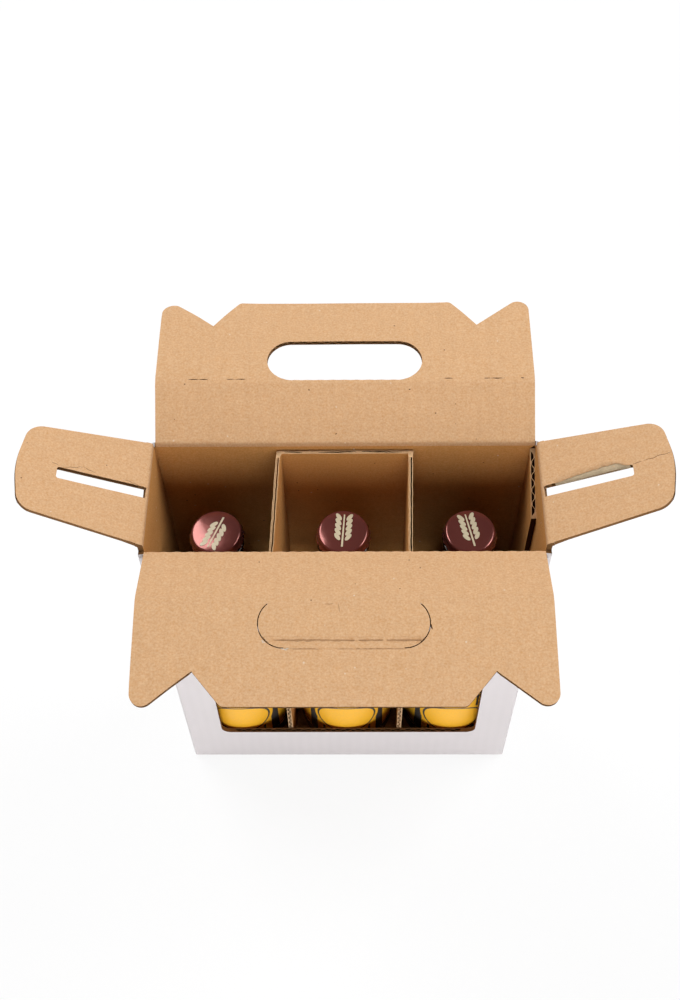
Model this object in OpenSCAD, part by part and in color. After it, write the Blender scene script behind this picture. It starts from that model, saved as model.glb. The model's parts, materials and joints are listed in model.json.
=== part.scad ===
// Opened carrier box of corrugated board for three bottles in a row.
// Millimetres, +Z up, +X to the right. The window faces -Y.
// The origin is on the base, under the middle of the box.

/* [Box] */
// Outer width, left to right
box_w = 206; // [198:1:230]
// Outer depth, front to back
box_d = 71.2; // [70:0.2:84]
// Height of the front and back creases above the base
rim_z = 262; // [255:1:300]
// Thickness of the corrugated board
board = 2.8; // [2.4:0.1:3]
// Outer radius of the folded edges
fold_r = 2.4; // [1:0.1:2.8]
// Gap between the free edge of the outer bottom flap and the back wall
bottom_gap = 1; // [0.5:0.1:3]

/* [Board] */
// Distance from one flute to the next
flute_pitch = 6.4; // [5.6:0.1:8]
// Thickness of each liner and of the fluted medium
liner = 0.45; // [0.3:0.05:0.6]
// Thickness of the crushed web in a crease
web = 1; // [0.8:0.1:1.4]
// Length of the crushed web on each side of a crease
web_len = 0.2; // [0.1:0.1:1]
// Gap between the rolled edge of a flap and the web that it turns on
crease_clear = 0.1; // [0.05:0.05:0.3]
// Length of board beside a crease whose flutes are pressed shut
crush_len = 2.5; // [1:0.5:6]
// Width of a pressed score line
score_w = 1.6; // [1:0.1:2.4]
// Depth of a pressed score line
score_depth = 0.3; // [0.1:0.05:0.3]

/* [Window] */
// Width of the display window
window_w = 162; // [120:1:170]
// Height of the lower edge of the window above the base
window_z = 40; // [20:1:60]
// Height of the window itself
window_h = 132; // [80:1:160]
// Corner radius of the window
window_r = 6; // [2:0.5:15]

/* [Top flaps] */
// Height of the handle panels
handle_h = 52.2; // [48:0.2:60]
// Gap between the two handle panels when the box is shut
handle_gap = 0.4; // [0.2:0.1:1]
// Gap between a top flap and each end wall
flap_side_clear = 0.6; // [0.3:0.1:2]
// Slope of the outer edge of a locking notch
ear_angle = 37.5; // [30:0.5:45]
// Corner radius of an ear
ear_r = 5.8; // [3:0.1:8]
// Radius of the shoulder at the inner edge of a notch
shoulder_r = 4; // [1:0.5:8]
// Lift of the front roof panel above level
front_roof_lift = 18.2; // [0:0.1:60]
// Bend of the front handle panel at its crease
front_handle_bend = 28.6; // [5:0.1:60]
// Lift of the back roof panel above level
back_roof_lift = 33.4; // [0:0.1:60]
// Bend of the back handle panel at its crease
back_handle_bend = 31.6; // [5:0.1:60]

/* [Hand hole] */
// Length of the hand hole
hole_w = 82; // [70:1:100]
// Height of the hand hole
hole_h = 25.2; // [22:0.2:30]
// Distance of the grip flap's fold from the handle crease
grip_fold_s = 20.4; // [16:0.2:21]
// Width of the knife cut around the grip flap
kerf = 0.5; // [0.3:0.05:0.8]

/* [End flaps] */
// Distance of an end flap's side edge from the front or back face, at its crease
end_setback = 4.6; // [4.6:0.1:9]
// How much each side of an end flap draws in from its crease to its tip
end_taper = 6.6; // [2:0.1:8]
// Length of an end flap
end_len = 66; // [60:0.2:80]
// Corner radius at the tip of an end flap
end_r = 10; // [4:0.5:12]
// Slope of each half of an end flap's tip
tip_slope = 10; // [4:0.5:14]
// Radius of the curve that joins the two halves of the tip
tip_r = 55; // [40:1:60]
// Distance from the crease to the end of the locking slot
slot_end = 46; // [42:0.5:50]
// Gap between the handle panels and each side of the slot
slot_clear = 0.3; // [0.2:0.1:1]
// Corner radius at the end of the slot
slot_r = 1.2; // [0.5:0.1:2]
// Slope of an end flap when it is locked
lock_angle = 50; // [46:0.5:54]
// Gap between a locked end flap and the inner edge of its notch
lock_clear = 1.1; // [0.5:0.1:2]
// Distance from the bottom of the notch to the end of the slot
lock_play = 1.3; // [1:0.1:3]
// Lift of the end flaps above level
end_lift = 24.5; // [0:0.5:60]

/* [Glue tab] */
// Length of the glue tab along the right wall
tab_len = 33; // [20:1:36]
// Drop of the slanted upper edge of the tab
tab_drop = 17; // [5:1:30]

/* [Insert] */
// Distance between the middles of the two dividers
insert_w = 69.4; // [68:0.2:70]
// Distance of the insert's upper edge below the creases
insert_drop = 4.5; // [3:0.5:20]
// Lean of the dividers to the left, as they stand in the box
insert_skew = 2; // [0:0.5:3]
// Gap between the insert and the walls
insert_clear = 0.4; // [0.2:0.1:1]

/* [Bottles] */
// Room across a bottle in the smallest cell
bottle_clear = 1.8; // [0.8:0.2:4]
// Height of a bottle without its cap
bottle_h = 225; // [215:1:232]
// Height of the straight body of a bottle
body_h = 124; // [110:1:130]
// Length of the shoulder between body and neck
shoulder_h = 50; // [40:1:60]
// Height of the bevel round the foot of a bottle
foot_bevel = 3; // [1:0.5:5]
// Depth of the hollow under a bottle
base_hollow = 4; // [2:0.5:8]
// Diameter of the neck at the top of the shoulder
neck_d = 26; // [25:0.2:26.4]
// How far the neck draws in below the ring and below the lip
neck_in = 0.6; // [0.2:0.1:1]
// Distance from the mouth down to the foot of the neck ring
ring_drop = 14; // [12:0.5:18]
// Height of the neck ring
ring_h = 4; // [3:0.5:6]
// How far the neck ring stands out past the mouth
ring_out = 0.8; // [0.3:0.1:1.5]
// Height of the bevels and tapers at the ring and the lip
ring_bevel = 1; // [0.5:0.1:1.5]
// Diameter of the mouth that the cap grips
mouth_d = 26.6; // [26:0.1:26.8]
// Diameter of the cap at the rim of its skirt
cap_d = 29.4; // [28.8:0.1:32]
// Height of the cap
cap_h = 6; // [5:0.1:7]
// Thickness of the cap's sheet metal
cap_t = 0.3; // [0.2:0.05:0.5]
// Gap between the cap and the mouth that it grips
cap_clear = 0.1; // [0.05:0.05:0.3]
// Height of the fluted skirt of the cap
skirt_h = 3.6; // [2.5:0.1:4.5]
// Bevel of the lip under the cap
lip_bevel = 1.2; // [0.8:0.1:2]
// Number of flutes round the cap
cap_flutes = 21; // [15:1:27]
// Height of the lower edge of a label above the foot of its bottle
label_z = 14; // [5:1:30]
// Height of a label
label_h = 62; // [30:1:90]
// Angle that a label covers round its bottle
label_angle = 150; // [60:5:200]
// Thickness of a label
label_t = 0.2; // [0.1:0.05:0.4]
// Thickness of the glue under a label
label_glue = 0.02; // [0.01:0.01:0.1]

/* [Hidden] */
$fn = 64;

kraft = [0.80, 0.63, 0.44];
white_board = [0.90, 0.89, 0.91];
brown_glass = [0.14, 0.06, 0.02];
cap_red = [0.33, 0.15, 0.14];
label_yellow = [0.93, 0.66, 0.10];

// Reach of a cut past the surface that it opens
over = 1;
// Shares of the pitch that a flute takes at its open side and at its crest
flute_open = 0.78;
flute_crest = 1 - flute_open;
// Straight steps in the curve of a bottle's shoulder
shoulder_steps = 14;
half_board = board / 2;
half_web = web / 2;
// A crease: where the web stops short of the axis, where it starts to thicken,
// and where the board has its full thickness
web_stop = half_web + crease_clear;
web_end = web_stop + web_len;
full_end = web_end + half_board - half_web;

inner_w = box_w - 2 * board;
inner_d = box_d - 2 * board;
floor_z = 2 * board;

// Crease axes. The end creases lie one board higher, so the end flaps close over the roof panels.
long_axis_y = (box_d - board) / 2;
end_axis_x = (box_w - board) / 2;
end_axis_z = rim_z + board;
roof_len = long_axis_y - half_board - handle_gap / 2;
flap_half = inner_w / 2 - flap_side_clear;

// The locking notch follows the end flap that shuts into it
lock_offset = half_board + lock_clear;
notch_r = slot_end - lock_play;
notch_x = end_axis_x - notch_r * cos(lock_angle) - lock_offset * sin(lock_angle);
notch_s = board + notch_r * sin(lock_angle) - lock_offset * cos(lock_angle);
shoulder_x = notch_x - (handle_h - notch_s) / tan(lock_angle);
ear_s = notch_s + (flap_half - notch_x) * tan(ear_angle);
end_root = box_d / 2 - end_setback;
end_tip = end_root - end_taper;
tip_x = tip_r * sin(tip_slope);
tip_s = end_len - tip_r * (1 - cos(tip_slope));
tip_corner = tip_s - (end_tip - tip_x) * tan(tip_slope);
slot_w = 2 * board + handle_gap + 2 * slot_clear;

// The hand hole starts on the handle crease, so it cuts the rolled edge away there
hole_s = -web_stop;
hole_straight = (hole_w - hole_h) / 2;
hole_mid_s = hole_s + hole_h / 2;

// The insert stands against the back wall. Its dividers lean about their back corners.
insert_back_y = inner_d / 2 - insert_clear - half_board;
divider_len = insert_back_y + inner_d / 2 - insert_clear;
insert_h = rim_z - insert_drop - floor_z;

// The cells, as wide as the walls, dividers and glue tab leave them
front_wall_y = -inner_d / 2;
insert_face_y = insert_back_y - half_board;
cell_y = (insert_face_y + front_wall_y) / 2;
divider_shift = (insert_back_y - cell_y) * tan(insert_skew);
left_divider_x = -insert_w / 2 - divider_shift;
right_divider_x = insert_w / 2 - divider_shift;
cells = [
    [-inner_w / 2, left_divider_x - half_board],
    [left_divider_x + half_board, right_divider_x - half_board],
    [right_divider_x + half_board, inner_w / 2 - board]];

// The bottles fit the smallest cell and stand in the middle of their own
smallest_cell = min(concat([insert_face_y - front_wall_y], [for (c = cells) c[1] - c[0]]));
bottle_d = smallest_cell - bottle_clear;
bottle_r = bottle_d / 2;
bottle_xs = [for (c = cells) (c[0] + c[1]) / 2];

// Outline with rounded outer corners, a true arc at each corner that has a radius
function toward(a, b) = (b - a) / norm(b - a);
function half_angle(p, a, b) = acos(toward(p, a) * toward(p, b)) / 2;
function tangent_len(p, a, b, r) = r / tan(half_angle(p, a, b));
function arc_centre(p, a, b, r) =
    p + toward([0, 0], toward(p, a) + toward(p, b)) * r / sin(half_angle(p, a, b));

module rounded_polygon(points, radii) {
    n = len(points);
    before = [for (i = [0:n - 1]) points[(i + n - 1) % n]];
    after = [for (i = [0:n - 1]) points[(i + 1) % n]];
    polygon([for (i = [0:n - 1])
        let (p = points[i], t = tangent_len(p, before[i], after[i], radii[i]))
        each radii[i] > 0
            ? [p + toward(p, before[i]) * t, p + toward(p, after[i]) * t]
            : [p]]);
    for (i = [0:n - 1])
        if (radii[i] > 0)
            translate(arc_centre(points[i], before[i], after[i], radii[i]))
                circle(r = radii[i]);
}

module rounded_rect(w, h, r) {
    rounded_polygon([[-w / 2, 0], [w / 2, 0], [w / 2, h], [-w / 2, h]], [r, r, r, r]);
}

// A panel lies in its own frame: X across, Y away from its crease, Z through the board,
// with the kraft side up. A side profile is drawn in Y and Z and runs the width of the panel.
module across(w) {
    translate([-w / 2, 0, 0])
        rotate([90, 0, 90])
            linear_extrude(w)
                children();
}

// The rolled edge, web and flare at the start of a flap, with its board out to a length
module flap_blank(w, len) {
    across(w) {
        polygon([[0, -half_web], [web_end, -half_web], [full_end, -half_board], [len, -half_board],
            [len, half_board], [full_end, half_board], [web_end, half_web], [0, half_web]]);
        circle(r = half_web);
    }
}

// The web that a board ends in, below the crease that the next flap turns on
module crease_web(w) {
    across(w)
        polygon([[-full_end, -half_board], [-web_end, -half_web], [-web_stop, -half_web],
            [-web_stop, half_web], [-web_end, half_web], [-full_end, half_board]]);
}

// One open flute between the medium and a liner, seen along the flute
module flute_section() {
    wide = flute_open * flute_pitch / 2;
    narrow = flute_crest * flute_pitch / 2;
    top = half_board - liner;
    low = 2 * liner - half_board;
    polygon([[-wide, top], [-narrow, low], [narrow, low], [wide, top]]);
}

// The flutes of a panel, open on both sides of the medium, from one distance to another
module flutes(half_w, from_s, to_s) {
    upper = floor(half_w / flute_pitch - 0.5);
    lower = floor(half_w / flute_pitch - 1);
    translate([0, from_s, 0])
        rotate([-90, 0, 0])
            linear_extrude(to_s - from_s) {
                for (k = [-upper:upper])
                    translate([k * flute_pitch, 0])
                        flute_section();
                for (k = [-lower - 1:lower])
                    translate([(k + 0.5) * flute_pitch, 0])
                        mirror([0, 1])
                            flute_section();
            }
}

// Cut or keep a plane outline through the thickness of a panel
module through_board(t = board) {
    translate([0, 0, -t / 2])
        linear_extrude(t)
            children();
}

module handle_outline() {
    right = [[flap_half, -over], [flap_half, ear_s], [notch_x, notch_s], [shoulder_x, handle_h]];
    left = [for (i = [3:-1:0]) [-right[i][0], right[i][1]]];
    radii = [0, ear_r, 0, shoulder_r];
    rounded_polygon(concat(right, left), concat(radii, [for (i = [3:-1:0]) radii[i]]));
}

// The hand hole, drawn in by an inset on every side
module hole_outline(inset = 0) {
    translate([0, hole_mid_s]) {
        square([2 * hole_straight, hole_h - 2 * inset], center = true);
        for (side = [-1, 1])
            translate([side * hole_straight, 0])
                circle(d = hole_h - 2 * inset);
    }
}

module handle_blank() {
    difference() {
        intersection() {
            flap_blank(2 * flap_half, handle_h + over);
            through_board(board + web)
                handle_outline();
        }
        flutes(flap_half, full_end + crush_len, handle_h + over);
    }
}

// Place a panel on its crease: turned round the box by a quarter or half turn, then lifted
module on_front(lift) {
    translate([0, -long_axis_y, rim_z])
        rotate([0, 0, 180])
            rotate([lift, 0, 0])
                children();
}

module on_back(lift) {
    translate([0, long_axis_y, rim_z])
        rotate([lift, 0, 0])
            children();
}

module on_handle_crease(bend) {
    translate([0, roof_len, 0])
        rotate([-bend, 0, 0])
            children();
}

module on_end(side, lift) {
    translate([side * end_axis_x, 0, end_axis_z])
        rotate([0, 0, -90 * side])
            rotate([lift, 0, 0])
                children();
}

module roof_panel() {
    flap_blank(2 * flap_half, roof_len - full_end);
    translate([0, roof_len, 0])
        crease_web(2 * flap_half);
}

module back_handle() {
    difference() {
        handle_blank();
        through_board(board + 2 * over)
            hole_outline();
    }
}

// The part of the hand hole on the crease side of the grip flap's fold
module below_fold(reach) {
    translate([-hole_w, -hole_w])
        square([2 * hole_w, hole_w + grip_fold_s + reach]);
}

// A pressed score line across a panel, on its kraft side
module score_line(w, s) {
    translate([0, s, half_board])
        across(w)
            polygon([[-score_w / 2, 0], [0, -score_depth], [score_w / 2, 0],
                [score_w / 2, over], [-score_w / 2, over]]);
}

module front_handle() {
    difference() {
        handle_blank();
        score_line(2 * hole_straight, hole_s + hole_h);
        through_board(board + 2 * over)
            intersection() {
                hole_outline();
                below_fold(full_end);
            }
        // The knife cut goes on round both ends of the strip beyond the fold
        through_board(board + 2 * over)
            difference() {
                hole_outline();
                hole_outline(kerf);
                square([2 * hole_straight, 4 * hole_h], center = true);
            }
    }
    intersection() {
        translate([0, grip_fold_s, 0])
            rotate([0, 0, 180])
                crease_web(hole_w);
        through_board()
            hole_outline(kerf);
    }
}

module grip_blank() {
    intersection() {
        translate([0, grip_fold_s, 0])
            rotate([0, 0, 180])
                flap_blank(hole_w, grip_fold_s - full_end - kerf);
        through_board(board + web)
            hole_outline(kerf);
    }
}

module end_outline() {
    rounded_polygon([[-end_root, -over], [end_root, -over], [end_tip, tip_corner], [tip_x, tip_s],
        [-tip_x, tip_s], [-end_tip, tip_corner]], [0, 0, end_r, 0, 0, end_r]);
    intersection() {
        translate([0, end_len - tip_r])
            circle(r = tip_r);
        translate([-tip_x, tip_s - over])
            square([2 * tip_x, tip_r]);
    }
}

module end_flap() {
    difference() {
        intersection() {
            flap_blank(2 * end_root, end_len + over);
            through_board(board + web)
                end_outline();
        }
        through_board(board + 2 * over)
            rounded_polygon([[-slot_w / 2, -2 * over], [slot_w / 2, -2 * over], [slot_w / 2, slot_end],
                [-slot_w / 2, slot_end]], [0, 0, slot_r, slot_r]);
        flutes(end_tip, full_end + crush_len, end_len + over);
    }
}

// The side view of the box: folded edges along the front and back of the bottom
module side_profile() {
    h = rim_z - full_end;
    rounded_polygon([[-box_d / 2, 0], [box_d / 2, 0], [box_d / 2, h], [-box_d / 2, h]],
        [fold_r, fold_r, 0, 0]);
}

module walls() {
    intersection() {
        difference() {
            translate([0, -box_d / 2, 0])
                linear_extrude(rim_z - full_end)
                    rounded_rect(box_w, box_d, fold_r);
            translate([-inner_w / 2, -inner_d / 2, floor_z])
                cube([inner_w, inner_d, rim_z]);
        }
        across(box_w)
            side_profile();
    }
}

module wall_creases() {
    for (side = [-1, 1]) {
        translate([0, side * long_axis_y, rim_z])
            rotate([90, 0, 0])
                crease_web(2 * flap_half);
        translate([side * end_axis_x, 0, end_axis_z])
            rotate([90, 0, 90])
                crease_web(2 * end_root);
        translate([side * end_axis_x - half_board, -end_root, rim_z - full_end])
            cube([board, 2 * end_root, board]);
    }
}

// Glue tab of the back wall, folded round the corner and stuck to the right wall
module glue_tab() {
    top = rim_z - full_end - board;
    translate([inner_w / 2 - board, inner_d / 2, 0])
        rotate([90, 0, 90])
            difference() {
                linear_extrude(board)
                    polygon([[0, floor_z], [0, top], [-tab_len, top - tab_drop], [-tab_len, floor_z]]);
                translate([-tab_len / 2, 0, half_board])
                    flutes(tab_len / 2, top - tab_drop - tab_len / 2, rim_z);
            }
}

// The flutes of the front wall that end in the upper and lower edges of the window
module window_flutes() {
    translate([0, -long_axis_y, 0])
        rotate([90, 0, 0])
            flutes(window_w / 2 - window_r, floor_z + crush_len, rim_z - full_end - crush_len);
}

module carton() {
    color(white_board)
        difference() {
            union() {
                walls();
                wall_creases();
                glue_tab();
            }
            translate([0, -inner_d / 2 + over, window_z])
                rotate([90, 0, 0])
                    linear_extrude(board + 2 * over)
                        rounded_rect(window_w, window_h, window_r);
            window_flutes();
            // Free edge of the outer bottom flap, glued over the inner one
            translate([-inner_w / 2, inner_d / 2 - bottom_gap, -over])
                cube([inner_w, bottom_gap, board + over]);
        }
}

module front_roof_panel() {
    color(kraft)
        on_front(front_roof_lift)
            roof_panel();
}

module front_handle_panel() {
    color(kraft)
        on_front(front_roof_lift)
            on_handle_crease(front_handle_bend)
                front_handle();
}

module grip_flap() {
    color(kraft)
        on_front(front_roof_lift)
            on_handle_crease(front_handle_bend)
                grip_blank();
}

module back_roof_panel() {
    color(kraft)
        on_back(back_roof_lift)
            roof_panel();
}

module back_handle_panel() {
    color(kraft)
        on_back(back_roof_lift)
            on_handle_crease(back_handle_bend)
                back_handle();
}

module left_end_flap() {
    color(kraft)
        on_end(-1, end_lift)
            end_flap();
}

module right_end_flap() {
    color(kraft)
        on_end(1, end_lift)
            end_flap();
}

// A divider from its back corner to the front, with its flutes level and open at the front.
// The last flutes run out of its upper and lower edges.
module divider() {
    difference() {
        union() {
            translate([-half_board, -divider_len, 0])
                cube([board, divider_len, insert_h]);
            cylinder(d = board, h = insert_h);
        }
        translate([0, -divider_len - over, insert_h / 2])
            rotate([0, 90, 0])
                flutes(insert_h / 2 + flute_pitch, 0, divider_len - crush_len);
    }
}

module bottle_insert() {
    color(kraft)
        translate([0, insert_back_y, floor_z]) {
            translate([-insert_w / 2, -half_board, 0])
                cube([insert_w, board, insert_h]);
            for (side = [-1, 1])
                translate([side * insert_w / 2, 0, 0])
                    rotate([0, 0, -insert_skew])
                        divider();
        }
}

// Half section of a bottle: foot with a hollow base, body, shoulder, neck, ring and lip
function foot_section() = [
    [0, base_hollow], [bottle_r / 2, base_hollow], [bottle_r - 2 * foot_bevel, 0],
    [bottle_r - foot_bevel, 0], [bottle_r, foot_bevel]];

function shoulder_section() = [
    for (i = [0:shoulder_steps])
        let (u = i / shoulder_steps, drop = (1 - cos(180 * u)) / 2)
        [bottle_r + (neck_d / 2 - bottle_r) * drop, body_h + shoulder_h * u]];

function mouth_section() =
    let (mouth_r = mouth_d / 2, ring_r = mouth_r + ring_out, ring_z = bottle_h - ring_drop,
        thin_r = neck_d / 2 - neck_in, lip_r = mouth_r - neck_in, lip_z = bottle_h - cap_h)
    [[thin_r, ring_z - 2 * ring_h], [thin_r, ring_z], [ring_r, ring_z + ring_bevel],
        [ring_r, ring_z + ring_h - ring_bevel], [lip_r, ring_z + ring_h], [lip_r, lip_z],
        [mouth_r, lip_z + 2 * ring_bevel], [mouth_r, bottle_h - lip_bevel],
        [mouth_r - lip_bevel, bottle_h], [0, bottle_h]];

module at_bottle(i) {
    translate([bottle_xs[i], cell_y, floor_z])
        children();
}

module bottle(i) {
    color(brown_glass)
        at_bottle(i)
            rotate_extrude()
                polygon(concat(foot_section(), shoulder_section(), mouth_section()));
}

// Crown cap: a domed disc whose skirt flares into flutes
module cap(i) {
    grip_r = mouth_d / 2 + cap_clear;
    flute_r = PI * cap_d / cap_flutes / 4;
    under = cap_h - cap_t;
    color(cap_red)
        at_bottle(i)
            translate([0, 0, bottle_h + cap_t - cap_h])
                difference() {
                    rotate_extrude()
                        polygon([[grip_r, 0], [cap_d / 2, 0], [grip_r + cap_t, under - lip_bevel],
                            [grip_r + cap_t - lip_bevel, cap_h], [0, cap_h], [0, under],
                            [grip_r - lip_bevel, under], [grip_r, under - lip_bevel]]);
                    for (k = [0:cap_flutes - 1])
                        rotate([0, 0, k * 360 / cap_flutes])
                            translate([cap_d / 2 + flute_r / 2, 0, -over])
                                cylinder(r = flute_r, h = skirt_h + over);
                }
}

// Paper label round the front of a bottle
module label(i) {
    color(label_yellow)
        at_bottle(i)
            translate([0, 0, label_z])
                rotate([0, 0, -90 - label_angle / 2])
                    rotate_extrude(angle = label_angle)
                        translate([bottle_r + label_glue, 0])
                            square([label_t, label_h]);
}

module bottle_left() { bottle(0); }
module bottle_middle() { bottle(1); }
module bottle_right() { bottle(2); }
module cap_left() { cap(0); }
module cap_middle() { cap(1); }
module cap_right() { cap(2); }
module label_left() { label(0); }
module label_middle() { label(1); }
module label_right() { label(2); }

carton();
front_roof_panel();
front_handle_panel();
grip_flap();
back_roof_panel();
back_handle_panel();
left_end_flap();
right_end_flap();
bottle_insert();
bottle_left();
bottle_middle();
bottle_right();
cap_left();
cap_middle();
cap_right();
label_left();
label_middle();
label_right();
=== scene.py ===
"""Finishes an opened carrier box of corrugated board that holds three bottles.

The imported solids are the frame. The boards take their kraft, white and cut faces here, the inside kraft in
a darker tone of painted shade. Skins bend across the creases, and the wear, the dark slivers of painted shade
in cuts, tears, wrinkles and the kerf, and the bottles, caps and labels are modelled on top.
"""

import json
import math
from contextlib import contextmanager

import bpy
from bpy.props import FloatProperty, FloatVectorProperty, IntProperty, PointerProperty
from mathutils import Matrix, Vector, noise

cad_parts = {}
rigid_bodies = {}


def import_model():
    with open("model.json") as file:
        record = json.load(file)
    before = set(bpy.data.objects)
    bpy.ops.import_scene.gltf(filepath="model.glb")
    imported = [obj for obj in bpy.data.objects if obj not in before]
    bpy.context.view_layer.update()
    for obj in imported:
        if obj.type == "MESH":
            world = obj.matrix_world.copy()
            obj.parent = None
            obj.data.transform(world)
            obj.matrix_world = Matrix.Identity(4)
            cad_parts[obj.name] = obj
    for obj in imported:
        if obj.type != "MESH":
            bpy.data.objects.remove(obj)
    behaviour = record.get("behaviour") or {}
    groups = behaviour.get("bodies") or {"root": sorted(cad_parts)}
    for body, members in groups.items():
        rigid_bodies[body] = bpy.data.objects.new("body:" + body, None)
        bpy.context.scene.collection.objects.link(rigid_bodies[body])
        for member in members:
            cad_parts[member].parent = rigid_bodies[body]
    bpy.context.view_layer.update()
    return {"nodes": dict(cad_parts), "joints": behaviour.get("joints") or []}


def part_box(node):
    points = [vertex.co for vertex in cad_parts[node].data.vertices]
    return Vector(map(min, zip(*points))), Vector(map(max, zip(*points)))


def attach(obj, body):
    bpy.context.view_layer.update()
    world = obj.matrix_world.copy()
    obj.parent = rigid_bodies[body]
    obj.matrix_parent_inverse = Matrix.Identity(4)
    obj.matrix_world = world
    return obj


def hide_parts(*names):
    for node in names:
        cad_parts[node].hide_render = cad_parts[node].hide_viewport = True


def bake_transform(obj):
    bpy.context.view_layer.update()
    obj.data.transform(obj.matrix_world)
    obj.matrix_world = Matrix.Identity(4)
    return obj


bl_info = {
    "name": "Three-bottle carrier box",
    "version": (1, 0, 0),
    "blender": (4, 5, 0),
    "location": "View3D > Sidebar > Carrier",
    "description": "Models the boards, creases, wear, bottles, caps and labels of an opened carrier box",
    "category": "Object",
}

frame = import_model()
NODES = frame["nodes"]
JOINTS = {joint["name"]: joint for joint in frame["joints"]}
CARTON_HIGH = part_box("carton")[1]

MM = 0.001
PLACES = ("left", "middle", "right")
UP = Vector((0, 0, 1))
DOWN = -UP
BACKWARD = Vector((0, 1, 0))
RIGHTWARD = Vector((1, 0, 0))
MERGE = 0.001 * MM


# Settings that a user would change

def length(name, description, millimetres):
    """A length property whose default is given in millimetres."""
    return FloatProperty(name=name, description=description, default=millimetres * MM,
                         unit="LENGTH", subtype="DISTANCE", precision=5)


def angle(name, description, degrees):
    """An angle property whose default is given in degrees."""
    return FloatProperty(name=name, description=description, default=math.radians(degrees),
                         unit="ROTATION", subtype="ANGLE")


def colour(name, description, rgb):
    """A colour property whose default is given as screen values from 0 to 255."""
    return FloatVectorProperty(name=name, description=description, subtype="COLOR", size=3,
                               min=0, max=1, default=[linear(channel) for channel in rgb])


def linear(channel):
    """The light of a screen value from 0 to 255."""
    share = channel / 255
    return share / 12.92 if share <= 0.04045 else ((share + 0.055) / 1.055) ** 2.4


def amount(name, description, value, unit="NONE"):
    """A plain number, or a power in watts."""
    return FloatProperty(name=name, description=description, default=value, unit=unit)


def spot_in_metres(name, description, xyz):
    """A place in the scene."""
    return FloatVectorProperty(name=name, description=description, default=xyz, subtype="XYZ", unit="LENGTH")


class BoardSettings(bpy.types.PropertyGroup):
    """Colours and small forms of the corrugated board."""

    kraft: colour("Kraft", "Inner liner", (207, 173, 138))
    kraft_dark: colour("Dark kraft", "Darker fibres of the inner liner", (187, 139, 90))
    # The inside tones are the kraft made darker and more saturated: painted shade for the inside of the box.
    inside: colour("Inside kraft", "Inner liner on the walls and the insert", (203, 152, 95))
    inside_shaded_dark: colour("Dark inside kraft", "Darker fibres of the walls and the insert", (181, 124, 61))
    white: colour("White", "Outer liner", (208, 202, 203))
    medium: colour("Cut edge", "Fluted medium and cut edges", (126, 90, 55))
    liner_edge: colour("Liner edge", "Cut edges of the liners on the insert and glue tab", (212, 174, 132))
    # The wrinkle colour is painted shade along the wrinkles and the score line of the grip flap.
    wrinkle_shade: colour("Wrinkle", "Bottom of a wrinkle in the liner", (170, 132, 95))
    torn: colour("Torn paper", "Layer laid bare where the liner is torn", (194, 174, 144))
    # The knife-cut colour is painted shade in cuts, tears, the kerf and open flutes, and it is also the
    # colour of dark specks.
    cut: colour("Knife cut", "Depth of a cut or a hairline tear", (63, 38, 17))
    fibre: colour("Fibres", "Loose fibres at a torn edge", (210, 196, 177))
    pitch: length("Flute pitch", "Distance from one flute to the next", 6.4)
    crease_reach: length("Crease reach", "How far a crease skin runs on each side of its axis", 2.6)
    crease_full: length("Crease width", "Distance from a crease at which the board is full again", 1.75)
    skin: length("Skin", "How far a crease skin lies on the board where the bend starts", 0.015)
    sink: length("Sink", "How deep the ends of a crease skin lie in the board", 0.08)
    scallop: length("Scallop", "Height of the waves that the flutes leave along a crease", 0.1)
    crush: length("Crush", "How much thinner the die-cut edges of the flaps are", 0.75)
    warp: length("Warp", "How far the flaps are out of flat", 0.2)
    ear_droop: length("Ear droop", "How far the outer corners of the handle panels bend away", 1.2)
    back_droop: length("Back droop", "How far the far edge of the back handle panel bends away", 1.8)
    hole_width: length("Hand hole width", "Length of the hand hole", 82)
    hole_height: length("Hand hole height", "Height of the hand hole", 25.2)
    hole_start: length("Hand hole start", "Distance of the hole's near edge past the handle crease", -0.6)
    kerf: length("Kerf", "Width of the knife cut round the grip flap", 0.5)
    slot_width: length("Slot width", "Width of the locking slot in an end flap", 6.6)


class BottleSettings(bpy.types.PropertyGroup):
    """Colours and sizes of the bottles, caps and labels."""

    glass: colour("Glass", "Brown glass where it is thick", (46, 26, 13))
    glass_thin: colour("Thin glass", "Brown glass where it is thin", (58, 32, 14))
    lacquer: colour("Cap lacquer", "Lacquer of the caps", (118, 62, 56))
    lacquer_worn: colour("Worn lacquer", "Lacquer along the rim and crimps of the caps", (168, 104, 98))
    print_ink: colour("Cap print", "Plain barley ear on the caps", (196, 186, 156))
    label_ground: colour("Label ground", "Ground of the labels", (240, 178, 40))
    label_dark: colour("Label dark", "Dark fields of the labels", (62, 58, 56))
    body_height: length("Body height", "Height of the straight body", 124)
    shoulder: length("Shoulder", "Length of the shoulder", 50)
    neck: length("Neck radius", "Radius of the neck at the top of the shoulder", 13)
    mouth: length("Mouth radius", "Radius of the mouth under the cap", 13.3)
    ring_drop: length("Ring drop", "Distance from the mouth down to the foot of the neck ring", 14)
    ring_height: length("Ring height", "Height of the neck ring", 4)
    ring_out: length("Ring width", "How far the neck ring stands out past the mouth", 0.8)
    hollow: length("Base hollow", "Depth of the hollow under a bottle", 4)
    sheet: length("Cap sheet", "Thickness of the cap's metal", 0.3)
    crimp: length("Crimp depth", "Depth of the crimps round the cap", 0.75)
    crimps: IntProperty(name="Crimps", description="Number of crimps round a cap", default=21, min=12, max=30)
    label_angle: angle("Label angle", "Angle that a label covers round its bottle", 150)


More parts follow.
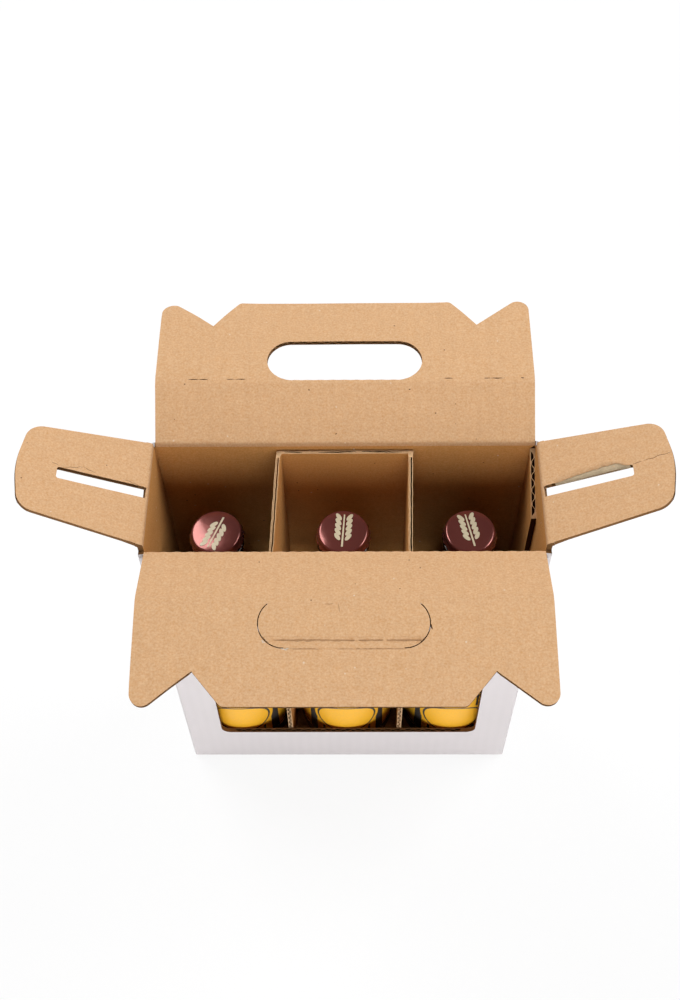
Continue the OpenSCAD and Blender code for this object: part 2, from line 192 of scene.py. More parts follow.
class StageSettings(bpy.types.PropertyGroup):
    """Floor, light and camera."""

    floor: colour("Floor", "Plain floor", (250, 250, 250))
    floor_width: length("Floor width", "Side of the square floor", 8000)
    horizon: amount("Horizon", "Strength of the light from low all round", 1.32)
    zenith: amount("Zenith", "Strength of the light from straight above", 0.07)
    key: amount("Key lamps", "Power of each lamp behind and above", 21.5, "POWER")
    key_left: spot_in_metres("Left key place", "Middle of the lamp behind on the left", (-0.81, 0.78, 1.6))
    key_right: spot_in_metres("Right key place", "Middle of the lamp behind on the right", (1.06, 0.5, 1.56))
    fill: amount("Fill lamp", "Power of the low lamp in front", 14.5, "POWER")
    fill_place: spot_in_metres("Fill place", "Middle of the lamp in front", (0.1, -1.55, 0.7))
    lamp_width: length("Lamp width", "Side of the square lamps", 900)
    eye: spot_in_metres("Camera place", "Where the camera stands", (0.00709, -0.35238, 0.79942))
    lens: amount("Lens", "Focal length in millimetres", 45.31)
    pitch: angle("Pitch", "How far the camera looks down", 56.9)
    yaw: angle("Yaw", "How far the camera looks to the right", -1.545)
    roll: angle("Roll", "How far the camera is turned about its own line of sight", -1.49)


# Materials

class Nodes:
    """A node tree and short ways to add to it."""

    def __init__(self, tree):
        self.tree = tree

    def add(self, kind, inputs=None, **settings):
        """A node with its settings, and with each input set to a value or linked to another node's output."""
        node = self.tree.nodes.new(kind)
        for key, value in settings.items():
            setattr(node, key, value)
        for key, value in (inputs or {}).items():
            if isinstance(value, bpy.types.NodeSocket):
                self.tree.links.new(value, node.inputs[key])
            else:
                node.inputs[key].default_value = value
        return node

    def spread(self, value, low, high, to_low=0.0, to_high=1.0):
        """A value stretched from one range to another and held there."""
        ranges = {"Value": value, "From Min": low, "From Max": high, "To Min": to_low, "To Max": to_high}
        return self.add("ShaderNodeMapRange", ranges).outputs[0]

    def calculate(self, operation, *values):
        """The outcome of a sum on values or other nodes' outputs."""
        return self.add("ShaderNodeMath", dict(enumerate(values)), operation=operation).outputs[0]

    def vector(self, operation, *values):
        """The outcomes of a sum on vectors."""
        return self.add("ShaderNodeVectorMath", dict(enumerate(values)), operation=operation).outputs

    def between(self, value, low, high):
        """1 where a value lies between two limits, 0 elsewhere."""
        above = self.calculate("GREATER_THAN", value, low)
        return self.calculate("MULTIPLY", above, self.calculate("LESS_THAN", value, high))


class Paint(Nodes):
    """A new material with plain values on its main shader, patterned on Object coordinates."""

    def __init__(self, name, values):
        self.material = bpy.data.materials.new(name)
        self.material.use_nodes = True
        super().__init__(self.material.node_tree)
        self.main = self.tree.nodes["Principled BSDF"]
        for socket, value in values.items():
            self.main.inputs[socket].default_value = value
        self.place = self.add("ShaderNodeTexCoord").outputs["Object"]

    def mix(self, share, first, second, blend_type="MIX"):
        """Two tones mixed, each of them a colour or another node's output."""
        tones = [tone if isinstance(tone, bpy.types.NodeSocket) else (*tone, 1) for tone in (first, second)]
        node = self.add("ShaderNodeMix", {0: share, 6: tones[0], 7: tones[1]}, data_type="RGBA",
                        blend_type=blend_type)
        return node.outputs[2]

    def vary(self, tone, value, darkest, palest, low=0.3, high=0.7):
        """A tone made darker and paler by a value."""
        return self.mix(1.0, tone, self.spread(value, low, high, darkest, palest), "MULTIPLY")

    def mottle(self, scale, detail=4, stretch=None):
        """Soft noise about 0.5, with an optional stretch that turns its grains into fibres."""
        place = self.place
        if stretch:
            place = self.add("ShaderNodeMapping", {"Vector": place, "Scale": stretch}).outputs[0]
        grain = {"Vector": place, "Scale": scale, "Detail": detail, "Roughness": 0.6}
        return self.add("ShaderNodeTexNoise", grain).outputs[0]

    def specks(self, scale, size, share):
        """1 inside a few small specks, 0 elsewhere."""
        cells = self.add("ShaderNodeTexVoronoi", {"Vector": self.place, "Scale": scale}).outputs
        chance = self.add("ShaderNodeSeparateColor", {0: cells["Color"]}).outputs[0]
        near = self.calculate("LESS_THAN", cells["Distance"], size)
        return self.calculate("MULTIPLY", near, self.calculate("LESS_THAN", chance, share))

    def washboard(self, direction, pitch):
        """The faint waves that the flutes leave in a liner."""
        wave = {"Vector": self.place, "Scale": 2 * math.pi / (20 * pitch), "Distortion": 1.2, "Detail": 2,
                "Detail Scale": 0.4}
        return self.add("ShaderNodeTexWave", wave, bands_direction=direction).outputs["Fac"]

    def bump(self, heights, strength, distance):
        """Bump from heights and their shares."""
        total = 0.0
        for value, share in heights:
            total = self.calculate("ADD", total, self.calculate("MULTIPLY", value, share))
        relief = self.add("ShaderNodeBump", {"Height": total, "Strength": strength, "Distance": distance})
        self.tree.links.new(relief.outputs[0], self.main.inputs["Normal"])

    def finish(self, tone, roughness=None):
        """Links the tone, and the roughness where it varies, and hands over the material."""
        self.tree.links.new(tone, self.main.inputs["Base Color"])
        if roughness is not None:
            self.tree.links.new(roughness, self.main.inputs["Roughness"])
        return self.material


def kraft_liner(name, board, direction, pale_fibre, dark_fibre):
    """Brown liner with patches, fibres, specks and the washboard of the flutes across one direction."""
    paint = Paint(name, {"Roughness": 0.92, "Specular IOR Level": 0.18})
    patches = paint.mottle(130, 5)
    grain = paint.mottle(1000, 5)
    fibres = paint.mottle(1, 3, (420, 2300, 1400))
    cross_fibres = paint.mottle(1, 3, (2600, 420, 1800))
    waves = paint.washboard(direction, board.pitch)
    tone = paint.mix(paint.spread(grain, 0.22, 0.78), dark_fibre, pale_fibre)
    for value, darkest, palest in ((patches, 0.975, 1.02), (fibres, 0.95, 1.04), (cross_fibres, 0.97, 1.02),
                                   (waves, 0.992, 1.005)):
        tone = paint.vary(tone, value, darkest, palest)
    for specks, strength, rgb in ((paint.specks(210, 0.1, 0.12), 0.55, board.fibre),
                                  (paint.specks(190, 0.075, 0.1), 0.75, board.cut)):
        tone = paint.mix(paint.calculate("MULTIPLY", specks, strength), tone, rgb)
    paint.bump(((grain, 0.6), (fibres, 0.3), (cross_fibres, 0.2), (waves, 0.25)), 0.4, 0.12 * MM)
    return paint.finish(tone)


def white_liner(name, board, direction):
    """Smooth white liner, a little uneven over the flutes."""
    paint = Paint(name, {"Roughness": 0.55, "Specular IOR Level": 0.35})
    patches = paint.mottle(45)
    waves = paint.washboard(direction, board.pitch)
    tone = paint.vary(board.white, patches, 0.975, 1.01)
    tone = paint.vary(tone, waves, 0.988, 1.0, 0.2, 0.8)
    paint.bump(((waves, 0.7), (paint.mottle(900), 0.3)), 0.3, 0.1 * MM)
    return paint.finish(tone, paint.spread(patches, 0.3, 0.7, 0.48, 0.64))


def raw_paper(name, rgb, dark_share, scale):
    """Bare pulp, found or made: a cut edge, a torn layer or loose fibres, and the papers that paint shade in
    cuts and wrinkles.
    """
    found = bpy.data.materials.get(name)
    if found:
        return found
    paint = Paint(name, {"Roughness": 0.95, "Specular IOR Level": 0.1})
    patches = paint.mottle(scale, 5)
    grain = paint.mottle(1800, 3)
    dark = [channel * dark_share for channel in rgb]
    tone = paint.vary(paint.mix(paint.spread(patches, 0.3, 0.7), dark, rgb), grain, 0.85, 1.05)
    paint.bump(((patches, 0.4), (grain, 0.6)), 0.5, 0.15 * MM)
    return paint.finish(tone)


def board_materials(board, direction, inside=False):
    """Kraft, white and cut edge of a board whose flutes repeat along a direction, found or made; inside, the
    kraft is a darker tone of painted shade.
    """
    known = bpy.data.materials
    tones = (board.inside, board.inside_shaded_dark) if inside else (board.kraft, board.kraft_dark)
    brown = f"{'inside' if inside else 'flap'}_kraft_{direction.lower()}"
    pale = f"white_liner_{direction.lower()}"
    kraft = known.get(brown) or kraft_liner(brown, board, direction, *tones)
    white = known.get(pale) or white_liner(pale, board, direction)
    return kraft, white, raw_paper("cut_edge", board.medium, 0.7, 500)


def liner_edge(board):
    """Pale cut edges of the liners where the flutes lie open."""
    return raw_paper("liner_edge", board.liner_edge, 0.75, 500)


def depth_shade_and_specks(board):
    """Painted shade in the depth of knife cuts, tears, the kerf and open flutes, and the dark specks on the
    back roof.
    """
    return raw_paper("depth_shade_and_specks", board.cut, 0.6, 600)


def brown_glass(bottles):
    """Dark brown glass, a little uneven."""
    paint = Paint("brown_glass", {"IOR": 1.52, "Specular IOR Level": 0.35, "Coat Weight": 0.15,
                                  "Coat Roughness": 0.03})
    tone = paint.mix(paint.spread(paint.mottle(40, 3), 0.3, 0.7), bottles.glass, bottles.glass_thin)
    paint.bump(((paint.mottle(120, 2), 1.0),), 0.05, 0.3 * MM)
    return paint.finish(tone, paint.spread(paint.mottle(90), 0.4, 0.75, 0.05, 0.16))


def cap_lacquer(bottles, skirt_z, top_z):
    """Glossy lacquer on sheet metal, paler where it is worn round the skirt."""
    paint = Paint("cap_lacquer", {"Metallic": 0.5, "Specular IOR Level": 0.4, "Coat Weight": 0.2,
                                  "Coat Roughness": 0.05})
    height = paint.add("ShaderNodeSeparateXYZ", {0: paint.place}).outputs["Z"]
    wear = paint.calculate("MULTIPLY", paint.spread(height, top_z, skirt_z),
                           paint.spread(paint.mottle(600), 0.35, 0.6))
    tone = paint.mix(wear, bottles.lacquer, bottles.lacquer_worn)
    tone = paint.vary(tone, paint.mottle(2500, 2), 0.94, 1.05)
    return paint.finish(tone, paint.spread(paint.mottle(300, 3), 0.3, 0.7, 0.1, 0.16))


def cap_ink(bottles):
    """Pale print on the caps."""
    paint = Paint("cap_ink", {"Coat Weight": 0.5, "Coat Roughness": 0.12})
    grain = paint.mottle(1500, 3)
    tone = paint.vary(bottles.print_ink, grain, 0.9, 1.05)
    return paint.finish(tone, paint.spread(grain, 0.3, 0.7, 0.3, 0.45))


LABEL_BANDS = (("X", 0.395, 0.605), ("Y", 0.955, 0.975), ("Y", 0.025, 0.045), ("X", 0.17, 0.245),
               ("X", 0.30, 0.32), ("X", 0.68, 0.70), ("X", 0.755, 0.83))
LABEL_MIDDLE = (0.5, 0.5, 0)
OVAL_SCALE = (3.6, 3.0, 0)


def label_paper(bottles):
    """Coated paper with a plain print: yellow ground, dark bands and an oval, on the label's own UV map."""
    paint = Paint("label_paper", {"Specular IOR Level": 0.4})
    own = paint.add("ShaderNodeTexCoord").outputs["UV"]
    axes = paint.add("ShaderNodeSeparateXYZ", {0: own}).outputs
    bands = 0.0
    for axis, low, high in LABEL_BANDS:
        bands = paint.calculate("MAXIMUM", bands, paint.between(axes[axis], low, high))
    from_middle = paint.vector("SUBTRACT", own, LABEL_MIDDLE)[0]
    reach = paint.vector("LENGTH", paint.vector("MULTIPLY", from_middle, OVAL_SCALE)[0])["Value"]
    outside_oval = paint.calculate("MULTIPLY", bands, paint.calculate("GREATER_THAN", reach, 1.0))
    dark = paint.calculate("MAXIMUM", outside_oval, paint.between(reach, 0.84, 0.9))
    grain = paint.mottle(900)
    tone = paint.vary(paint.mix(dark, bottles.label_ground, bottles.label_dark), grain, 0.93, 1.04)
    return paint.finish(tone, paint.spread(grain, 0.3, 0.7, 0.42, 0.58))


GLOW_REACH = (0.4, 1.6)
GLOW_SHARE = (0.88, 1.0)


def floor_paint(stage):
    """Pale floor that shows white to the camera and keeps the object's shadow."""
    paint = Paint("floor", {"Base Color": (*stage.floor, 1), "Roughness": 0.9, "Specular IOR Level": 0.1})
    rays = paint.add("ShaderNodeLightPath").outputs
    seen = paint.calculate("MAXIMUM", rays["Is Camera Ray"], rays["Is Glossy Ray"])
    seen = paint.calculate("MAXIMUM", seen, rays["Is Transmission Ray"])
    glow = paint.add("ShaderNodeEmission", {"Strength": 1.0}).outputs[0]
    reach = paint.vector("LENGTH", paint.place)["Value"]
    share = paint.calculate("MULTIPLY", seen, paint.spread(reach, *GLOW_REACH, *GLOW_SHARE))
    mixed = paint.add("ShaderNodeMixShader", {0: share, 1: paint.main.outputs[0], 2: glow})
    paint.tree.links.new(mixed.outputs[0], paint.tree.nodes["Material Output"].inputs["Surface"])
    return paint.material


# Modelling steps

def pick(*pieces):
    """Selects these pieces alone, with the first one active."""
    bpy.ops.object.select_all(action="DESELECT")
    for piece in pieces:
        piece.select_set(True)
    bpy.context.view_layer.objects.active = pieces[0]


def made(name):
    """The piece that an operator has just made, under its name."""
    piece = bpy.context.object
    piece.name = name
    return piece


@contextmanager
def editing(piece):
    """Edit mode on a piece with all of it selected, then object mode again."""
    pick(piece)
    bpy.ops.object.mode_set(mode="EDIT")
    bpy.ops.mesh.select_all(action="SELECT")
    yield
    bpy.ops.object.mode_set(mode="OBJECT")


def smooth(piece, sharp=30):
    """Shades all but sharp edges smooth, by an angle in degrees."""
    pick(piece)
    bpy.ops.object.shade_smooth_by_angle(angle=math.radians(sharp))


def finish_mesh(piece, sharp=30):
    """Merges doubles, turns the faces outwards and shades the piece."""
    with editing(piece):
        bpy.ops.mesh.remove_doubles(threshold=MERGE)
        bpy.ops.mesh.normals_make_consistent(inside=False)
    smooth(piece, sharp)


def apply_modifier(piece, kind, **settings):
    """Adds a modifier to a piece and applies it."""
    pick(piece)
    modifier = piece.modifiers.new(kind.lower(), kind)
    for key, value in settings.items():
        setattr(modifier, key, value)
    bpy.ops.object.modifier_apply(modifier=modifier.name)


def cut_away(piece, cutter, operation="DIFFERENCE"):
    """Takes the form of a cutter out of a piece, or all but that form, and deletes the cutter."""
    apply_modifier(piece, "BOOLEAN", operation=operation, solver="EXACT", object=cutter)
    bpy.data.objects.remove(cutter)


def paint_piece(piece, *materials):
    """Gives a piece these materials alone."""
    piece.data.materials.clear()
    for material in materials:
        piece.data.materials.append(material)


def settle(piece, body, slot, *replaced):
    """Hangs a finished piece on its body and hides the solids that it stands for; the material slot is not
    used.
    """
    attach(piece, body)
    if replaced:
        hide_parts(*replaced)


def copy_of_solid(node, name):
    """A merged copy of a solid's mesh, as a piece of its own."""
    pick(NODES[node])
    bpy.ops.object.duplicate()
    piece = made(name)
    piece.parent = None
    for key in list(piece.keys()):
        del piece[key]
    with editing(piece):
        bpy.ops.mesh.customdata_custom_splitnormals_clear()
        bpy.ops.mesh.remove_doubles(threshold=MERGE)
    return piece


def bisect(piece, points, normal):
    """Cuts a mesh along parallel planes, so that it can bend there."""
    with editing(piece):
        for point in points:
            bpy.ops.mesh.select_all(action="SELECT")
            bpy.ops.mesh.bisect(plane_co=point, plane_no=normal, threshold=MERGE)


def shaped_grid(name, columns, rows, place):
    """A grid whose points go to place(u, v), with u and v from 0 to 1, which its UV map keeps."""
    bpy.ops.mesh.primitive_grid_add(x_subdivisions=columns, y_subdivisions=rows, size=1)
    piece = made(name)
    for vertex in piece.data.vertices:
        vertex.co = place(vertex.co.x + 0.5, vertex.co.y + 0.5)
    return piece


def prism(name, outline, rise):
    """A flat outline of points, filled and extruded along a direction."""
    bpy.ops.mesh.primitive_circle_add(vertices=len(outline), fill_type="NGON")
    piece = made(name)
    for vertex, point in zip(piece.data.vertices, outline):
        vertex.co = point
    with editing(piece):
        bpy.ops.mesh.extrude_region_move(TRANSFORM_OT_translate={"value": rise})
    finish_mesh(piece)
    return piece


def join(name, pieces):
    """One piece from several."""
    pick(*pieces)
    bpy.ops.object.join()
    return made(name)


def turned(name, profile, steps):
    """A piece turned round the Z axis from a profile of radius and height, drawn by extruding one vertex."""
    points = [Vector((radius, 0, height)) for radius, height in profile]
    bpy.ops.mesh.primitive_plane_add(size=MM)
    piece = made(name)
    with editing(piece):
        bpy.ops.mesh.merge(type="CENTER")
        bpy.ops.transform.translate(value=points[0])
        for before, after in zip(points, points[1:]):
            bpy.ops.mesh.extrude_region_move(TRANSFORM_OT_translate={"value": after - before})
    with editing(piece):
        bpy.ops.mesh.spin(steps=steps, angle=2 * math.pi, center=(0, 0, 0), axis=UP)
    finish_mesh(piece)
    return piece


def copy_to(piece, name, place):
    """A copy with its own mesh, moved to a place that is then applied to the mesh."""
    pick(piece)
    bpy.ops.object.duplicate()
    other = made(name)
    other.location = place
    bpy.ops.object.transform_apply(location=True, rotation=True, scale=True)
    return other


def ease(value, low, high):
    """0 below a range, 1 above it and a smooth rise between."""
    share = min(max((value - low) / (high - low), 0), 1)
    return share * share * (3 - 2 * share)


# The flaps in their own directions

EAR_ACROSS = (74 * MM, 100 * MM)
EAR_AWAY = (36 * MM, 57 * MM)
EAR_LEANS = (2.2, 0.1)
DROOP_ACROSS = (50 * MM, 66 * MM)
DROOP_AWAY = (27 * MM, 60 * MM)
WARP_SCALE = 24


def widest_normal(mesh):
    """The direction that most of a board's upper side faces."""
    areas = {}
    for face in mesh.polygons:
        key = tuple(round(part, 4) for part in face.normal)
        if key[2] > 0:
            areas[key] = areas.get(key, 0) + face.area
    return Vector(max(areas, key=areas.get)).normalized()


class Flap:
    """One flap: across it, away from its crease and up out of its kraft side."""

    def __init__(self, node, joint_name, far_crease=False, ears=False, droops=False):
        joint = JOINTS[joint_name]
        self.node = node
        self.body = joint["child"]
        self.carrier = joint["parent"]
        self.pivot = Vector(joint["pos_m"])
        self.across = Vector([abs(part) for part in joint["axis"]])
        self.up = widest_normal(NODES[node].data)
        self.away = self.across.cross(self.up)
        low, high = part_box(node)
        if self.away.dot((low + high) / 2 - self.pivot) < 0:
            self.away.negate()
        spots = [self.spot(vertex.co) for vertex in NODES[node].data.vertices]
        self.half_width, self.length, self.half_board = (max(parts) for parts in zip(*spots))
        self.flutes = "X" if self.across.x > 0.5 else "Y"
        self.far_crease = far_crease
        self.ears = ears
        self.droops = droops

    def spot(self, point):
        """A point's distance across, away and up."""
        offset = point - self.pivot
        return Vector((offset.dot(self.across), offset.dot(self.away), offset.dot(self.up)))

    def at(self, across, away, up=0.0):
        """The point at these distances."""
        return self.pivot + self.across * across + self.away * away + self.up * up

    def rise(self, across, away, board):
        """How far the flap is out of flat at a spot, which is nothing along its creases."""
        start, end = 2 * board.crease_reach, 6 * board.crease_reach
        free = ease(away, start, end)
        if self.far_crease:
            free *= ease(self.length - away, start, end)
        ripple = noise.noise(Vector((across * WARP_SCALE, away * WARP_SCALE, self.pivot.y * 50)))
        rise = board.warp * free * ripple
        if self.ears:
            lean = EAR_LEANS[0] if across < 0 else EAR_LEANS[1]
            rise -= board.ear_droop * lean * ease(abs(across), *EAR_ACROSS) * ease(away, *EAR_AWAY)
        if self.droops:
            rise -= board.back_droop * (1 - ease(abs(across), *DROOP_ACROSS)) * ease(away, *DROOP_AWAY)
        return rise


FRONT_ROOF = Flap("front_roof_panel", "front_roof_fold", far_crease=True)
FRONT_HANDLE = Flap("front_handle_panel", "front_handle_fold", ears=True)
GRIP = Flap("grip_flap", "grip_flap_fold")
BACK_ROOF = Flap("back_roof_panel", "back_roof_fold", far_crease=True)
BACK_HANDLE = Flap("back_handle_panel", "back_handle_fold", ears=True, droops=True)
LEFT_END = Flap("left_end_flap", "left_end_fold")
RIGHT_END = Flap("right_end_flap", "right_end_fold")

HALF_BOARD = FRONT_ROOF.half_board
BOARD = 2 * HALF_BOARD
FIELD = 9 * MM
FAR_EDGE_HALF = 72 * MM
HOLE_MARGIN = 5 * MM
SLOT_MARGIN = 4 * MM
TIP_MARGIN = 8 * MM
CRUSH_START = (4 * MM, 9 * MM)
FLAT = 0.98
UPRIGHT = 0.2
FLUTE_LEVEL = 0.8
EDGE_LEVEL = 0.3
TURNED_OUT = 0.5


def split_faces(piece, flap):
    """Gives the kraft side, the white side and the cut edges of a flap their own material slots."""
    vertices = piece.data.vertices
    for face in piece.data.polygons:
        levels = [flap.spot(vertices[index].co).z / flap.half_board for index in face.vertices]
        height = flap.spot(face.center).z / flap.half_board
        facing = face.normal.dot(flap.up)
        in_flute = abs(height) < FLUTE_LEVEL and abs(facing) > FLAT
        face.material_index = 2
        for slot, side in enumerate((1, -1)):
            on_side = min(side * level for level in levels) > FLAT
            turned_out = side * facing > TURNED_OUT and side * height > EDGE_LEVEL
            if on_side or (turned_out and not in_flute):
                face.material_index = slot


def grid_cuts(piece, flap):
    """Cuts a flap into fields that can bend."""
    width = 2 * flap.half_width
    columns = int(width / FIELD)
    rows = int(flap.length / FIELD)
    bisect(piece, [flap.at(width * (i / columns - 0.5), 0) for i in range(1, columns)], flap.across)
    bisect(piece, [flap.at(0, flap.length * i / rows) for i in range(1, rows)], flap.away)


def is_crushed(flap, spot, board):
    """Whether an edge is pressed: a handle panel's far edge, or an end flap's edges outside its slot."""
    if flap.ears:
        return abs(spot.x) < FAR_EDGE_HALF and spot.y > board.hole_start + board.hole_height + HOLE_MARGIN
    return abs(spot.x) > board.slot_width / 2 + SLOT_MARGIN or spot.y > flap.length - TIP_MARGIN


def crush_edges(piece, flap, board):
    """Presses die-cut edges of a flap thinner from its white side."""
    upright = set()
    for face in piece.data.polygons:
        if abs(face.normal.dot(flap.up)) < UPRIGHT:
            upright.update(face.vertices)
    for index in upright:
        vertex = piece.data.vertices[index]
        spot = flap.spot(vertex.co)
        if is_crushed(flap, spot, board):
            depth = (flap.half_board - spot.z) / (2 * flap.half_board)
            vertex.co = vertex.co + flap.up * board.crush * depth * ease(spot.y, *CRUSH_START)


def dress_flap(flap, board):
    """A flap's board with its kraft side, white side and cut edges, a little out of flat."""
    piece = copy_of_solid(flap.node, f"{flap.node}_board")
    grid_cuts(piece, flap)
    paint_piece(piece, *board_materials(board, flap.flutes))
    split_faces(piece, flap)
    if flap is not GRIP and not flap.far_crease:
        crush_edges(piece, flap, board)
    for vertex in piece.data.vertices:
        spot = flap.spot(vertex.co)
        vertex.co = vertex.co + flap.up * flap.rise(spot.x, spot.y, board)
    smooth(piece)
    return piece


class CARRIER_OT_top_flaps(bpy.types.Operator):
    """Model the roof panels, the handle panels and the grip flap"""

    bl_idname = "carrier.top_flaps"
    bl_label = "Top flaps"

    def execute(self, context):
        for flap in (FRONT_ROOF, FRONT_HANDLE, GRIP, BACK_ROOF, BACK_HANDLE):
            settle(dress_flap(flap, context.scene.carrier_board), flap.body, "kraft_board", flap.node)
        return {"FINISHED"}


# The torn slot of the right end flap

TEAR_START = 6 * MM
TEAR_LENGTH = 38.5 * MM
TEAR_WIDTH = 2.9 * MM
TEAR_STEPS = 110
STRIP_TOP = 0.55
STRIP_LOW = -0.75
STRIP_THICKNESS = 0.35 * MM
TEAR_FLOOR = 0.45
TEAR_ROUGH = 0.12 * MM
STRIP_GRID = (88, 8)


def tear_width(share):
    """Width of the torn strip along the slot: a long lens with a ragged edge."""
    lens = (0.5 * ease(share, 0, 0.3) + 0.5 * ease(share, 0.15, 0.75)) * (1 - ease(share, 0.8, 1.0))
    ragged = 0.14 * noise.noise(Vector((share * 30, 0.3, 0.7)))
    ragged += 0.12 * noise.noise(Vector((share * 85, 0.9, 0.2)))
    return TEAR_WIDTH * lens * (1 + ragged) + 0.1 * MM


def tear_line(flap, board, up):
    """Points along the ragged edge of the torn strip."""
    points = []
    for step in range(TEAR_STEPS + 1):
        share = step / TEAR_STEPS
        away = TEAR_START + TEAR_LENGTH * share
        across = board.slot_width / 2 + tear_width(share)
        points.append(flap.at(across, away, up + flap.rise(across, away, board)))
    return points


def torn_strip(flap, board):
    """The layer under the torn liner: a strip that slopes down from the ragged edge to the slot."""

    def place(u, v):
        away = TEAR_START + TEAR_LENGTH * u
        outer = board.slot_width / 2 + tear_width(u) + STRIP_THICKNESS
        inner = board.slot_width / 2 - 0.1 * MM
        across = outer + (inner - outer) * v
        level = flap.half_board * (STRIP_TOP + (STRIP_LOW - STRIP_TOP) * v * v)
        rough = TEAR_ROUGH * noise.noise(Vector((u * 40, v * 3, 2.1)))
        return flap.at(across, away, level + rough + flap.rise(across, away, board))

    piece = shaped_grid("torn_strip", *STRIP_GRID, place)
    apply_modifier(piece, "SOLIDIFY", thickness=STRIP_THICKNESS, offset=0)
    finish_mesh(piece, 50)
    paint_piece(piece, raw_paper("torn_layer", board.torn, 0.78, 240))
    return piece


class CARRIER_OT_end_flaps(bpy.types.Operator):
    """Model the two end flaps, with the torn slot of the right one"""

    bl_idname = "carrier.end_flaps"
    bl_label = "End flaps"

    def execute(self, context):
        board = context.scene.carrier_board
        settle(dress_flap(LEFT_END, board), LEFT_END.body, "kraft_board", LEFT_END.node)
        right = dress_flap(RIGHT_END, board)
        above = RIGHT_END.half_board + MM
        edge = tear_line(RIGHT_END, board, above)
        slot_side = [RIGHT_END.at(0, TEAR_START + TEAR_LENGTH * share, above) for share in (1, 0)]
        depth = above - RIGHT_END.half_board * TEAR_FLOOR
        cut_away(right, prism("tear_cutter", edge + slot_side, -depth * RIGHT_END.up))
        settle(right, RIGHT_END.body, "kraft_board", RIGHT_END.node)
        settle(torn_strip(RIGHT_END, board), RIGHT_END.body, "kraft_board")
        return {"FINISHED"}


# Creases

RAMP = 0.125
SKIN_ROWS = 32
THROUGH = 10 * MM


class Crease:
    """A crease of a flap: its carrier's direction and kraft side, its dip in mm and its sharpness."""

    def __init__(self, name, flap, carrier_away, carrier_up, dip, sharpness=1.0):
        self.name = name
        self.flap = flap
        self.first = carrier_away
        self.first_up = carrier_up
        self.middle = (carrier_up + flap.up).normalized()
        self.dip = dip * MM
        self.sharpness = sharpness

    def skin_point(self, x, t, side, board):
        """A point of the skin: t runs from the carrier to the flap, side is 1 on kraft and -1 on white."""
        flap = self.flap
        axis = flap.at(x, 0)
        face = flap.half_board + board.skin
        if not RAMP <= t <= 1 - RAMP:
            along, up = (self.first, self.first_up) if t < 0.5 else (flap.away, flap.up)
            share = min(t, 1 - t) / RAMP
            distance = board.crease_reach + (board.crease_full - board.crease_reach) * share
            height = flap.half_board - board.sink + (board.sink + board.skin) * share
            return axis + along * distance + up * side * height
        turn = (t - RAMP) / (1 - 2 * RAMP)
        start = self.first * board.crease_full + self.first_up * side * face
        end = flap.away * board.crease_full + flap.up * side * face
        worn = noise.noise(Vector((x * 70, side * 2, flap.pivot.y * 40 + flap.pivot.x * 30)))
        corner = face / self.middle.dot(self.first_up) - self.dip * (1 + 0.5 * worn)
        pull = 2 * self.sharpness * turn * (1 - turn)
        offset = start * (1 - turn) ** 2 + self.middle * side * corner * pull + end * turn ** 2
        offset /= (1 - turn) ** 2 + pull + turn ** 2
        wave = board.scallop * math.cos(2 * math.pi * x / board.pitch) * 4 * turn * (1 - turn)
        return axis + offset + self.middle * side * wave


CREASES = (
    Crease("front_rim_crease", FRONT_ROOF, DOWN, BACKWARD, 0, 2.4),
    Crease("back_rim_crease", BACK_ROOF, DOWN, -BACKWARD, 0, 2.4),
    Crease("left_end_crease", LEFT_END, DOWN, RIGHTWARD, 0, 2.4),
    Crease("right_end_crease", RIGHT_END, DOWN, -RIGHTWARD, 0, 2.4),
    Crease("front_handle_crease", FRONT_HANDLE, -FRONT_ROOF.away, FRONT_ROOF.up, 0.3),
    Crease("back_handle_crease", BACK_HANDLE, -BACK_ROOF.away, BACK_ROOF.up, 0.3),
    Crease("grip_crease", GRIP, FRONT_HANDLE.away, FRONT_HANDLE.up, 0.95),
)


def crease_skin(crease, board):
    """The two liners that run over a crease, as one closed strip."""
    half_width = crease.flap.half_width
    columns = int(2 * half_width / (board.pitch / 8))

    def place(u, v):
        x = half_width * (2 * u - 1)
        loop = v % 1.0
        if loop <= 0.5:
            return crease.skin_point(x, 2 * loop, 1, board)
        return crease.skin_point(x, 2 - 2 * loop, -1, board)

    piece = shaped_grid(crease.name, columns, SKIN_ROWS, place)
    paint_piece(piece, *board_materials(board, crease.flap.flutes))
    rows = piece.data.uv_layers.active.data
    for face in piece.data.polygons:
        middle = sum(rows[loop].uv.y for loop in face.loop_indices) / face.loop_total
        face.material_index = 0 if middle < 0.5 else 1
    with editing(piece):
        bpy.ops.mesh.remove_doubles(threshold=MERGE)
        bpy.ops.mesh.fill_holes(sides=0)
    for face in piece.data.polygons:
        if face.loop_total > 4:
            face.material_index = 2
    return piece


def hole_point(board, inset, side, turn):
    """A point round one end of the hand hole, as distances across and away."""
    radius = board.hole_height / 2
    across = board.hole_width / 2 - radius + (radius - inset) * math.cos(turn)
    return Vector((side * across, board.hole_start + radius + (radius - inset) * math.sin(turn)))


def stadium(board, inset=0.0, steps=16):
    """Outline of the hand hole on a handle panel."""
    points = []
    for side in (1, -1):
        for step in range(steps + 1):
            points.append(hole_point(board, inset, side, side * math.pi * (step / steps - 0.5)))
    return points


def trim_skin(skin, flap, board):
    """Opens a crease skin where the hand hole, a locking slot or the knife cut meets it."""
    owner = flap
    operation = "DIFFERENCE"
    half = board.slot_width / 2
    if flap in (LEFT_END, RIGHT_END):
        outline = ((-half, 0), (half, 0), (half, THROUGH), (-half, THROUGH))
    elif flap is BACK_HANDLE:
        outline = stadium(board)
    elif flap is GRIP:
        owner = FRONT_HANDLE
        operation = "INTERSECT"
        outline = stadium(board, 1.5 * board.kerf)
    else:
        return
    corners = [owner.at(x, away, -THROUGH / 2) for x, away in outline]
    cut_away(skin, prism("trimmer", corners, THROUGH * owner.up), operation)


